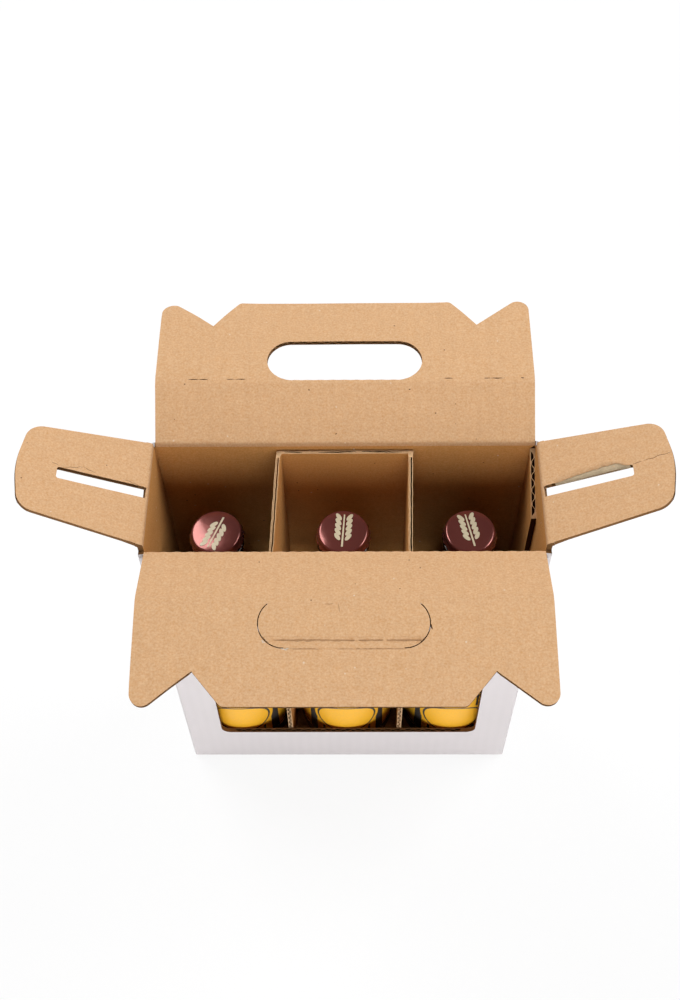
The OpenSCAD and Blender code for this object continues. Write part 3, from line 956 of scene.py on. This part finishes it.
class CARRIER_OT_creases(bpy.types.Operator):
    """Model the liners that bend across every crease"""

    bl_idname = "carrier.creases"
    bl_label = "Creases"

    def execute(self, context):
        board = context.scene.carrier_board
        for crease in CREASES:
            flap = crease.flap
            skin = crease_skin(crease, board)
            trim_skin(skin, flap, board)
            finish_mesh(skin, 50)
            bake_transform(skin)
        return {"FINISHED"}


# Painted shade in knife marks, tears, wrinkles and the kerf; specks and loose fibres

SLIVER_DEPTH = 0.4 * MM
SLIVER_TIP = 0.35
TEAR_PACE = 1.2 * MM
KERF_STEP = 4
# Painted shade along the grip's fold, which stays where it is made rather than riding on a body.
FOLD_WRINKLE_SHADE = ("grip_fold_wrinkle_shade",)


def sliver(points, width):
    """Flat outline of a thin line through points, tapered at both ends."""
    left = []
    right = []
    last = len(points) - 1
    for index, point in enumerate(points):
        way = (points[min(index + 1, last)] - points[max(index - 1, 0)]).normalized()
        half = width / 2 * (SLIVER_TIP + (1 - SLIVER_TIP) * math.sin(math.pi * index / last))
        side = Vector((-way.y, way.x)) * half
        left.append(point + side)
        right.append(point - side)
    return left + right[::-1]


def hairline(name, flap, points, width, level, board):
    """A thin closed sliver along points of a flap, with its top at a level over the bent board."""
    outline = [flap.at(x, away, level + flap.rise(x, away, board)) for x, away in sliver(points, width)]
    return prism(name, outline, -SLIVER_DEPTH * flap.up)


def wander(start, end, stray, seed):
    """Points from start to end, in millimetres, that stray to both sides as a tear does."""
    first = Vector(start) * MM
    way = Vector(end) * MM - first
    side = Vector((-way.y, way.x)).normalized()
    steps = max(4, round(way.length / TEAR_PACE))
    points = []
    for step in range(steps + 1):
        share = step / steps
        swing = noise.noise(Vector((share * steps * 0.8, seed, 0.5))) * math.sin(math.pi * share)
        points.append(first + way * share + side * swing * stray * MM)
    return points


def kerf_lines(board, start, end):
    """Lines along the knife cut round both ends of the grip flap, between two angles in degrees."""
    turns = [math.radians(degrees) for degrees in range(start, end + 1, KERF_STEP)]
    return [[hole_point(board, board.kerf / 2, side, turn) for turn in turns] for side in (1, -1)]


def shade_and_wear_places(board):
    """Name, flap, material, width, level of the top and lines of each sliver: painted shade in cuts, tears,
    wrinkles and the kerf, dark specks and loose fibres.
    """
    # The dark paper paints the shade in the knife marks, tears, crack, nick and kerf, and colours the specks.
    shade_and_specks = depth_shade_and_specks(board)
    # The wrinkle paper paints the soft shade of the grip's wrinkles and score line.
    fold = raw_paper("wrinkle_shade", board.wrinkle_shade, 0.85, 300)
    pale = raw_paper("loose_fibre", board.fibre, 0.85, 900)
    face = HALF_BOARD + 0.02 * MM
    ridge = 1.13 * MM
    return (
        # Painted shade in the knife marks along the back handle crease.
        ("back_knife_mark_shade", BACK_HANDLE, shade_and_specks, 0.3 * MM, ridge, [
            wander((-83, 0), (-72, 0), 0.2, 1), wander((-62, 0), (-49.5, 0), 0.2, 2),
            wander((51.3, 0), (58.7, 0), 0.2, 3), wander((73.3, 0), (84, 0), 0.2, 4),
            wander((92.4, 0.2), (93.8, 0), 0.1, 5)]),
        ("back_roof_specks", BACK_ROOF, shade_and_specks, 0.5 * MM, face, [
            wander((-19.2, 27.4), (-18.2, 27.2), 0.1, 18), wander((33.6, 27.3), (34.6, 27.5), 0.1, 19),
            wander((-84.4, 30.6), (-83.6, 30.8), 0.1, 20), wander((-4.9, 3.9), (-4.3, 4.6), 0.1, 21)]),
        # Painted shade in the hairline tears of the left end flap and the crack of the right one.
        ("left_flap_tear_shade", LEFT_END, shade_and_specks, 0.2 * MM, face, [
            wander((3.6, 43), (6.6, 33), 0.9, 6), wander((6.6, 33), (4.8, 27), 0.7, 7),
            wander((4.6, 12), (3.5, 4), 0.8, 8), wander((5.2, 49), (4.2, 45.5), 0.8, 9)]),
        ("right_flap_crack_shade", RIGHT_END, shade_and_specks, 0.24 * MM, face, [
            wander((3.2, 46), (3.8, 50.5), 0.5, 10), wander((3.9, 51.5), (4.9, 65.4), 0.8, 11)]),
        # Soft slivers of painted shade along the wrinkles of the grip flap and the score under it.
        ("grip_wrinkle_shade", GRIP, fold, 0.4 * MM, face, [
            wander((-2.6, 18.0), (-2.0, 13.6), 0.6, 12), wander((-9, 17.6), (-5, 17.9), 0.4, 13)]),
        ("grip_fold_wrinkle_shade", GRIP, fold, 0.8 * MM, 1.04 * MM, [
            wander((-33, 0.1), (5, -0.1), 0.5, 22), wander((7, -0.1), (37, 0.1), 0.5, 23)]),
        ("grip_score_shade", FRONT_HANDLE, fold, 0.9 * MM, face - 0.2 * MM, [
            wander((-24, 24.8), (-9, 25.1), 0.6, 24), wander((-10, 25.2), (28, 24.8), 0.8, 25)]),
        # Dark slivers within the knife cut round the grip flap: painted shade in the kerf.
        ("grip_kerf_shade", FRONT_HANDLE, shade_and_specks, board.kerf * 0.8, -0.3 * MM, kerf_lines(board, -48, 20)),
        ("grip_hinge_kerf_shade", FRONT_HANDLE, shade_and_specks, board.kerf * 0.95, -0.8 * MM, kerf_lines(board, 4, 56)),
        ("grip_far_kerf_shade", FRONT_HANDLE, shade_and_specks, board.kerf * 0.8, 0.7 * MM, kerf_lines(board, 48, 88)),
        # Painted shade in a small nick beside the grip flap.
        ("grip_nick_shade", FRONT_HANDLE, shade_and_specks, 0.7 * MM, face, [wander((40.9, 12.6), (41.6, 15.4), 0.3, 26)]),
        ("grip_fibres", FRONT_HANDLE, pale, 0.45 * MM, face, [
            wander((-38.6, 20.4), (-37.0, 22.0), 0.5, 14), wander((-29.6, 24.6), (-26.2, 25.2), 0.7, 15),
            wander((-27.6, 25.4), (-25.8, 24.4), 0.6, 16), wander((-37.8, 20.6), (-38.2, 21.8), 0.4, 17)]),
    )


class CARRIER_OT_wear(bpy.types.Operator):
    """Model the painted shade in the knife marks, wrinkles, hairline tears, crack, nick and kerf, and the
    dark specks and loose fibres
    """

    bl_idname = "carrier.wear"
    bl_label = "Wear"

    def execute(self, context):
        board = context.scene.carrier_board
        for name, flap, material, width, level, lines in shade_and_wear_places(board):
            slivers = [hairline(name, flap, points, width, level, board) for points in lines]
            piece = join(name, slivers)
            paint_piece(piece, material)
            if name in FOLD_WRINKLE_SHADE:
                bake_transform(piece)
            else:
                settle(piece, flap.body, "kraft_board")
        return {"FINISHED"}


# Carton and insert

SLACK = 0.05 * MM
TAB_FOOT = 3 * BOARD
TAB_CRUSH = 4 * MM
TAB_LEFT = 0.4


def split_carton(piece):
    """Gives the carton its kraft inside, white outside, cut edges, and painted shade in the open flutes of
    the glue tab.
    """
    inner = CARTON_HIGH - Vector((BOARD + SLACK, BOARD + SLACK, 0))
    outer = CARTON_HIGH - Vector((SLACK, SLACK, 0))
    for face in piece.data.polygons:
        x, y, z = (abs(part) for part in face.center)
        tab_depth = inner.x - face.center.x
        if x < inner.x + 2 * SLACK and y < inner.y + 2 * SLACK:
            face.material_index = 2 if z < 2 * BOARD - SLACK else 0
            # Faces within the glue tab's board that don't face up take painted shade for its open flutes.
            if 4 * SLACK < tab_depth < BOARD - 4 * SLACK and z > 2 * BOARD:
                face.material_index = 3 if face.normal.z > 0.1 else 4
        elif (x < outer.x and y < inner.y) or (y < outer.y and x < inner.x):
            face.material_index = 2
        else:
            face.material_index = 1


def crush_tab(piece):
    """Presses the free end of the glue tab thinner."""
    wall = CARTON_HIGH.x - BOARD
    tab_face = wall - BOARD - SLACK
    tab = [vertex.co for vertex in piece.data.vertices
           if tab_face < vertex.co.x < wall - 6 * SLACK and vertex.co.z > TAB_FOOT]
    end = min(place.y for place in tab)
    bisect(piece, [BACKWARD * (end + TAB_CRUSH)], BACKWARD)
    for vertex in piece.data.vertices:
        place = vertex.co
        at_end = end - MM < place.y < end + TAB_CRUSH / 2
        if at_end and tab_face < place.x < wall - SLACK / 5 and place.z > TAB_FOOT:
            place.x = wall - TAB_LEFT * (wall - place.x)


class CARRIER_OT_carton(bpy.types.Operator):
    """Model the carton: kraft inside in a darker tone of painted shade, white outside, fluted cut edges at
    the window and the glue tab, and painted shade in the tab's open flutes
    """

    bl_idname = "carrier.carton"
    bl_label = "Carton"

    def execute(self, context):
        board = context.scene.carrier_board
        piece = copy_of_solid("carton", "carton_board")
        # The walls' kraft is the darker inside tone of painted shade, and the last slot paints shade into the
        # glue tab's open flutes.
        paint_piece(piece, *board_materials(board, "X", inside=True), liner_edge(board), depth_shade_and_specks(board))
        split_carton(piece)
        crush_tab(piece)
        smooth(piece)
        settle(piece, "box", "white_board", "carton")
        return {"FINISHED"}


INSERT_STEP = 2.5 * MM
INSERT_GAPS = ((-32, -22.5, 0.4), (-14, 6, -0.2), (9, 30, 0.3))
GAP_WIDTH = 0.95 * MM
GAP_DEPTH = 5 * MM
LINER = 0.35 * MM
CRUSH_DEPTH = 4 * MM
BACK_PRESS = 0.3
SIDE_PRESS = 0.25
SIDE_ROUGH = 0.25 * MM
TOP_ROUGH = 0.5 * MM
FRONT_EDGE = 3 * MM


def cut_gaps(piece, high):
    """Opens the flute that shows between the liners along the top of the insert's back panel."""
    for index, (start, end, back) in enumerate(INSERT_GAPS):
        outline = sliver(wander((start, back), (end, -back), 0.4, 30 + index), GAP_WIDTH)
        corners = [Vector((x, high.y - HALF_BOARD + y, high.z + MM)) for x, y in outline]
        cut_away(piece, prism("gap_cutter", corners, GAP_DEPTH * DOWN))


def split_insert(piece, low, high):
    """Gives the insert its kraft sides, pale liner edges, and painted shade in its open flutes and gaps."""
    for face in piece.data.polygons:
        front_edge = face.center.y < low.y + FRONT_EDGE and face.normal.y < -0.5
        flat_side = abs(face.normal.z) < 0.3 and not front_edge
        face.material_index = 0 if flat_side else 1
        depth = high.y - face.center.y
        if depth > BOARD:
            depth = min(high.x - face.center.x, face.center.x - low.x)
        # Faces within the board's depth take painted shade for the open flutes and gaps.
        if LINER < depth < BOARD - LINER and face.normal.z < 0.5 and not front_edge:
            face.material_index = 2


def crush_top(piece, low, high):
    """Presses the cut top of the insert a little thinner and makes it uneven."""
    for vertex in piece.data.vertices:
        place = vertex.co
        press = 1 - ease(high.z - place.z, 0, CRUSH_DEPTH)
        rough = noise.noise(place * 260)
        if place.y > high.y - BOARD - 0.1 * MM:
            place.y += BACK_PRESS * press * (high.y - HALF_BOARD - place.y)
        else:
            middle = high.x - HALF_BOARD if place.x > (low.x + high.x) / 2 else low.x + HALF_BOARD
            place.x += press * (SIDE_PRESS * (middle - place.x) + SIDE_ROUGH * rough)
        if press > 0.95:
            place.z -= TOP_ROUGH * abs(rough)


class CARRIER_OT_insert(bpy.types.Operator):
    """Model the folded divider between the bottles"""

    bl_idname = "carrier.insert"
    bl_label = "Insert"

    def execute(self, context):
        board = context.scene.carrier_board
        piece = copy_of_solid("bottle_insert", "bottle_insert_board")
        low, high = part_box("bottle_insert")
        cut_gaps(piece, high)
        for axis, direction in enumerate((RIGHTWARD, BACKWARD)):
            steps = int((high[axis] - low[axis]) / INSERT_STEP)
            bisect(piece, [low + direction * INSERT_STEP * step for step in range(1, steps)], direction)
        # The insert's kraft is the darker inside tone of painted shade, and its last slot paints shade into
        # the open flutes and gaps.
        paint_piece(piece, board_materials(board, "Z", inside=True)[0], liner_edge(board), depth_shade_and_specks(board))
        split_insert(piece, low, high)
        crush_top(piece, low, high)
        smooth(piece)
        settle(piece, "box", "kraft_board", "bottle_insert")
        return {"FINISHED"}


# Bottles, caps and labels

FOOT_RADIUS = 3.0 * MM
STAND_RADIUS = 0.6 * MM
NECK_TAPER = 0.6 * MM
RING_BEAD = 1.0 * MM
LIP_RADIUS = 1.2 * MM
BASE_DOME = ((0, 1), (0.3, 0.92), (0.6, 0.6))
SHOULDER_STEPS = 22
BOTTLE_STEPS = 72


def bottle_foot(place):
    """The middle of a bottle's foot."""
    low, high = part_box(f"bottle_{place}")
    return Vector(((low.x + high.x) / 2, (low.y + high.y) / 2, low.z))


def bottle_size():
    """A bottle's radius and height."""
    low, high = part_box("bottle_middle")
    return (high.x - low.x) / 2, high.z - low.z


def arc(centre, radius, start, end, steps):
    """Points of an arc of radius and height, by angles in degrees."""
    points = []
    for step in range(steps + 1):
        turn = math.radians(start + (end - start) * step / steps)
        points.append((centre[0] + radius * math.cos(turn), centre[1] + radius * math.sin(turn)))
    return points


def bottle_profile(bottles):
    """Radius and height from the hollow base up to the mouth."""
    radius, height = bottle_size()
    ring_foot = height - bottles.ring_drop
    ring_top = ring_foot + bottles.ring_height
    bead = bottles.mouth + bottles.ring_out - RING_BEAD
    thin = bottles.neck - NECK_TAPER
    lip = bottles.mouth - NECK_TAPER
    profile = [(radius * out, bottles.hollow * rise) for out, rise in BASE_DOME]
    profile.append((radius - 2.6 * FOOT_RADIUS, 0.25 * MM))
    profile += arc((radius - 1.6 * FOOT_RADIUS, STAND_RADIUS), STAND_RADIUS, 215, 270, 3)
    profile += arc((radius - FOOT_RADIUS, FOOT_RADIUS), FOOT_RADIUS, 270, 360, 7)
    profile += [(radius, bottles.body_height * share) for share in (0.25, 0.5, 0.75)]
    for step in range(SHOULDER_STEPS + 1):
        share = step / SHOULDER_STEPS
        narrowing = (1 - math.cos(math.pi * share)) / 2
        out = radius + (bottles.neck - radius) * narrowing
        profile.append((out, bottles.body_height + bottles.shoulder * share))
    profile += [(bottles.neck - NECK_TAPER / 2, ring_foot - 14 * MM), (thin, ring_foot - 8 * MM)]
    profile.append((thin, ring_foot - 1 * MM))
    profile += arc((bead, ring_foot + RING_BEAD), RING_BEAD, 270, 360, 4)
    profile += arc((bead, ring_top - RING_BEAD), RING_BEAD, 0, 90, 4)
    profile += [(lip, ring_top + 0.4 * MM), (lip, height - 6 * MM)]
    profile += [(bottles.mouth, height - 4 * MM), (bottles.mouth, height - LIP_RADIUS)]
    profile += arc((bottles.mouth - LIP_RADIUS, height - LIP_RADIUS), LIP_RADIUS, 0, 90, 4)
    profile.append((0, height))
    return profile


class CARRIER_OT_bottles(bpy.types.Operator):
    """Model the three bottles"""

    bl_idname = "carrier.bottles"
    bl_label = "Bottles"

    def execute(self, context):
        bottles = context.scene.carrier_bottles
        pattern = turned("bottle_pattern", bottle_profile(bottles), BOTTLE_STEPS)
        paint_piece(pattern, brown_glass(bottles))
        for place in PLACES:
            piece = copy_to(pattern, f"bottle_{place}_glass", bottle_foot(place))
            settle(piece, "box", "brown_glass", f"bottle_{place}")
        bpy.data.objects.remove(pattern)
        return {"FINISHED"}


CAP_PLAY = 0.1 * MM
CAP_SHOULDER = 1.7 * MM
CAP_CROWN = 0.25 * MM
SKIRT_TOP = 3.8 * MM
STEPS_PER_CRIMP = 10
PRINT_TURNS = (158, -4, 12)
PRINT_RISE = 0.06 * MM
GRAIN_ROWS = 5
GRAIN_LEAN = 34
GRAIN_STEPS = 14
GRAIN_OUT = 2.9 * MM
GRAIN_START = -3.6 * MM
GRAIN_PITCH = 3.1 * MM
GRAIN_HALF_SIZE = (1.15 * MM, 2.5 * MM)
STEM = ((-0.5, -9.6), (0.5, -9.6), (0.35, 10.4), (-0.35, 10.4))


def cap_profile(bottles, high, rim_radius):
    """Radius and height of a crown cap: up the inside of the skirt, over the disc and down the outside."""
    sheet = bottles.sheet
    grip = bottles.mouth + CAP_PLAY
    outer = grip + sheet
    disc = outer - CAP_SHOULDER
    crown = high - CAP_CROWN
    inner = [(0, high - sheet), (grip - CAP_SHOULDER, crown - sheet)]
    inner += arc((grip - CAP_SHOULDER, crown - CAP_SHOULDER - sheet), CAP_SHOULDER, 90, 0, 5)[1:]
    inner += [(grip, 3.4 * MM), (rim_radius - sheet - 0.8 * MM, 1.6 * MM), (rim_radius - sheet, 0)]
    over = [(rim_radius, 0), (rim_radius, 0.25 * MM), (outer + 1.1 * MM, 1.4 * MM),
            (outer + 0.45 * MM, 2.6 * MM), (outer + 0.1 * MM, 3.6 * MM)]
    over += arc((disc, crown - CAP_SHOULDER), CAP_SHOULDER, 0, 90, 7)
    over += [(disc * 0.7, high - 0.06 * MM), (disc * 0.35, high - 0.01 * MM), (0, high)]
    return inner + over


def crimp_skirt(piece, bottles):
    """Presses the crimps into the skirt of a cap."""
    for vertex in piece.data.vertices:
        flat = Vector((vertex.co.x, vertex.co.y))
        turn = math.atan2(flat.y, flat.x)
        fold = (1 + math.cos(bottles.crimps * turn)) / 2
        press = bottles.crimp * (1 - ease(vertex.co.z, 0, SKIRT_TOP)) * fold ** 1.5
        if flat.length > bottles.mouth:
            flat = flat.normalized() * max(flat.length - press, bottles.mouth + CAP_PLAY)
            vertex.co.x, vertex.co.y = flat


def barley_ear(top):
    """A plain ear of barley: a stem and two rows of grains, flat on the top of a cap."""
    grains = []
    half_width, half_length = GRAIN_HALF_SIZE
    for row in range(GRAIN_ROWS):
        for side in (-1, 1):
            centre = Vector((side * GRAIN_OUT, GRAIN_START + GRAIN_PITCH * row))
            lean = Matrix.Rotation(-math.radians(side * GRAIN_LEAN), 2)
            outline = []
            for step in range(GRAIN_STEPS):
                turn = 2 * math.pi * step / GRAIN_STEPS
                grain = Vector((half_width * math.cos(turn), half_length * math.sin(turn)))
                grain.rotate(lean)
                outline.append(Vector((*(centre + grain), top)))
            grains.append(prism("grain", outline, UP * PRINT_RISE))
    outline = [Vector((x * MM, y * MM, top)) for x, y in STEM]
    grains.append(prism("stem", outline, UP * (PRINT_RISE - 0.01 * MM)))
    return join("barley_ear", grains)


class CARRIER_OT_caps(bpy.types.Operator):
    """Model the crimped caps with their plain print"""

    bl_idname = "carrier.caps"
    bl_label = "Caps"

    def execute(self, context):
        bottles = context.scene.carrier_bottles
        low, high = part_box("cap_middle")
        height = high.z - low.z
        profile = cap_profile(bottles, height, (high.x - low.x) / 2)
        pattern = turned("cap_pattern", profile, bottles.crimps * STEPS_PER_CRIMP)
        crimp_skirt(pattern, bottles)
        paint_piece(pattern, cap_lacquer(bottles, low.z, low.z + 0.75 * height))
        ear = barley_ear(height - 0.02 * MM)
        paint_piece(ear, cap_ink(bottles))
        for place, degrees in zip(PLACES, PRINT_TURNS):
            spot = bottle_foot(place)
            spot.z = low.z
            settle(copy_to(pattern, f"cap_{place}_crown", spot), "box", "cap_metal", f"cap_{place}")
            ear.rotation_euler.z = math.radians(degrees)
            settle(copy_to(ear, f"cap_{place}_print", spot), "box", "cap_metal")
        bpy.data.objects.remove(pattern)
        bpy.data.objects.remove(ear)
        return {"FINISHED"}


LABEL_SHEET = 0.12 * MM
LABEL_PLAY = 0.1 * MM
LABEL_GRID = (60, 14)
LABEL_LIFT = (0.96, 1.0)


class CARRIER_OT_labels(bpy.types.Operator):
    """Model the paper labels round the bottles"""

    bl_idname = "carrier.labels"
    bl_label = "Labels"

    def execute(self, context):
        bottles = context.scene.carrier_bottles
        paper = label_paper(bottles)
        radius = bottle_size()[0] + LABEL_PLAY
        for name in PLACES:
            low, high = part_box(f"label_{name}")
            foot = bottle_foot(name)

            def place(u, v):
                turn = bottles.label_angle * (u - 0.5)
                lifted = LABEL_SHEET * ease(abs(2 * u - 1), *LABEL_LIFT)
                out = radius + lifted
                return Vector((foot.x + out * math.sin(turn), foot.y - out * math.cos(turn),
                               low.z + (high.z - low.z) * v))

            piece = shaped_grid(f"label_{name}_paper", *LABEL_GRID, place)
            apply_modifier(piece, "SOLIDIFY", thickness=LABEL_SHEET, offset=0)
            finish_mesh(piece, 40)
            paint_piece(piece, paper)
            settle(piece, "box", "label_paper", f"label_{name}")
        return {"FINISHED"}


# Floor, light and camera

SKY_RISE = (0.1, 0.45)


def aim_camera(camera, stage):
    """Stands the camera at the eye, turned by yaw, pitch and roll."""
    level = Vector((math.sin(stage.yaw), math.cos(stage.yaw), 0))
    ahead = level * math.cos(stage.pitch) + DOWN * math.sin(stage.pitch)
    right = Vector((level.y, -level.x, 0))
    above = right.cross(ahead)
    turned_right = right * math.cos(stage.roll) + above * math.sin(stage.roll)
    turned_above = above * math.cos(stage.roll) - right * math.sin(stage.roll)
    turn = Matrix((turned_right, turned_above, -ahead)).transposed().to_4x4()
    camera.matrix_world = Matrix.Translation(stage.eye) @ turn


def light_world(stage):
    """Light from all round, brighter low down, that the camera sees as white."""
    world = bpy.data.worlds.new("studio")
    bpy.context.scene.world = world
    world.use_nodes = True
    nodes = Nodes(world.node_tree)
    rays = nodes.add("ShaderNodeLightPath").outputs
    seen = nodes.calculate("MAXIMUM", rays["Is Camera Ray"], rays["Is Transmission Ray"])
    direction = nodes.add("ShaderNodeTexCoord").outputs["Generated"]
    height = nodes.add("ShaderNodeSeparateXYZ", {0: direction}).outputs["Z"]
    sky = nodes.spread(height, *SKY_RISE, stage.horizon, stage.zenith)
    lit = nodes.calculate("MULTIPLY", sky, nodes.calculate("SUBTRACT", 1.0, seen))
    background = nodes.tree.nodes["Background"]
    background.inputs["Color"].default_value = (1, 1, 1, 1)
    nodes.tree.links.new(nodes.calculate("ADD", lit, seen), background.inputs["Strength"])


def add_lamp(name, place, power, width):
    """A soft square lamp that faces the top of the box and isn't seen itself."""
    bpy.ops.object.light_add(type="AREA", location=place)
    lamp = made(name)
    lamp.data.energy = power
    lamp.data.size = width
    lamp.visible_camera = False
    aim = UP * CARTON_HIGH.z - Vector(place)
    lamp.rotation_euler = aim.to_track_quat("-Z", "Y").to_euler()


class CARRIER_OT_stage(bpy.types.Operator):
    """Set up the pale floor, the soft light and the camera"""

    bl_idname = "carrier.stage"
    bl_label = "Stage"

    def execute(self, context):
        stage = context.scene.carrier_stage
        bpy.ops.mesh.primitive_plane_add(size=stage.floor_width)
        floor = made("floor")
        paint_piece(floor, floor_paint(stage))
        light_world(stage)
        add_lamp("key_left", stage.key_left, stage.key, stage.lamp_width)
        add_lamp("key_right", stage.key_right, stage.key, stage.lamp_width)
        add_lamp("fill", stage.fill_place, stage.fill, stage.lamp_width)
        bpy.ops.object.camera_add()
        camera = bpy.context.object
        camera.data.lens = stage.lens
        camera.data.clip_start = 10 * MM
        aim_camera(camera, stage)
        context.scene.camera = camera
        context.scene.view_settings.view_transform = "Standard"
        return {"FINISHED"}


class CARRIER_PT_sidebar(bpy.types.Panel):
    """The steps that build the carrier box"""

    bl_idname = "CARRIER_PT_sidebar"
    bl_label = "Carrier box"
    bl_space_type = "VIEW_3D"
    bl_region_type = "UI"
    bl_category = "Carrier"

    def draw(self, context):
        for operator in OPERATORS:
            self.layout.operator(operator.bl_idname)


SETTINGS = {"carrier_board": BoardSettings, "carrier_bottles": BottleSettings, "carrier_stage": StageSettings}
OPERATORS = (CARRIER_OT_stage, CARRIER_OT_carton, CARRIER_OT_top_flaps, CARRIER_OT_end_flaps,
             CARRIER_OT_creases, CARRIER_OT_wear, CARRIER_OT_insert, CARRIER_OT_bottles, CARRIER_OT_caps,
             CARRIER_OT_labels)


def register():
    for name, settings in SETTINGS.items():
        bpy.utils.register_class(settings)
        setattr(bpy.types.Scene, name, PointerProperty(type=settings))
    for operator in OPERATORS:
        bpy.utils.register_class(operator)
    bpy.utils.register_class(CARRIER_PT_sidebar)


def unregister():
    bpy.utils.unregister_class(CARRIER_PT_sidebar)
    for operator in reversed(OPERATORS):
        bpy.utils.unregister_class(operator)
    for name, settings in SETTINGS.items():
        delattr(bpy.types.Scene, name)
        bpy.utils.unregister_class(settings)


def main():
    register()
    bpy.ops.carrier.stage()
    bpy.ops.carrier.carton()
    bpy.ops.carrier.top_flaps()
    bpy.ops.carrier.end_flaps()
    bpy.ops.carrier.creases()
    bpy.ops.carrier.wear()
    bpy.ops.carrier.insert()
    bpy.ops.carrier.bottles()
    bpy.ops.carrier.caps()
    bpy.ops.carrier.labels()


if __name__ == "__main__":
    main()
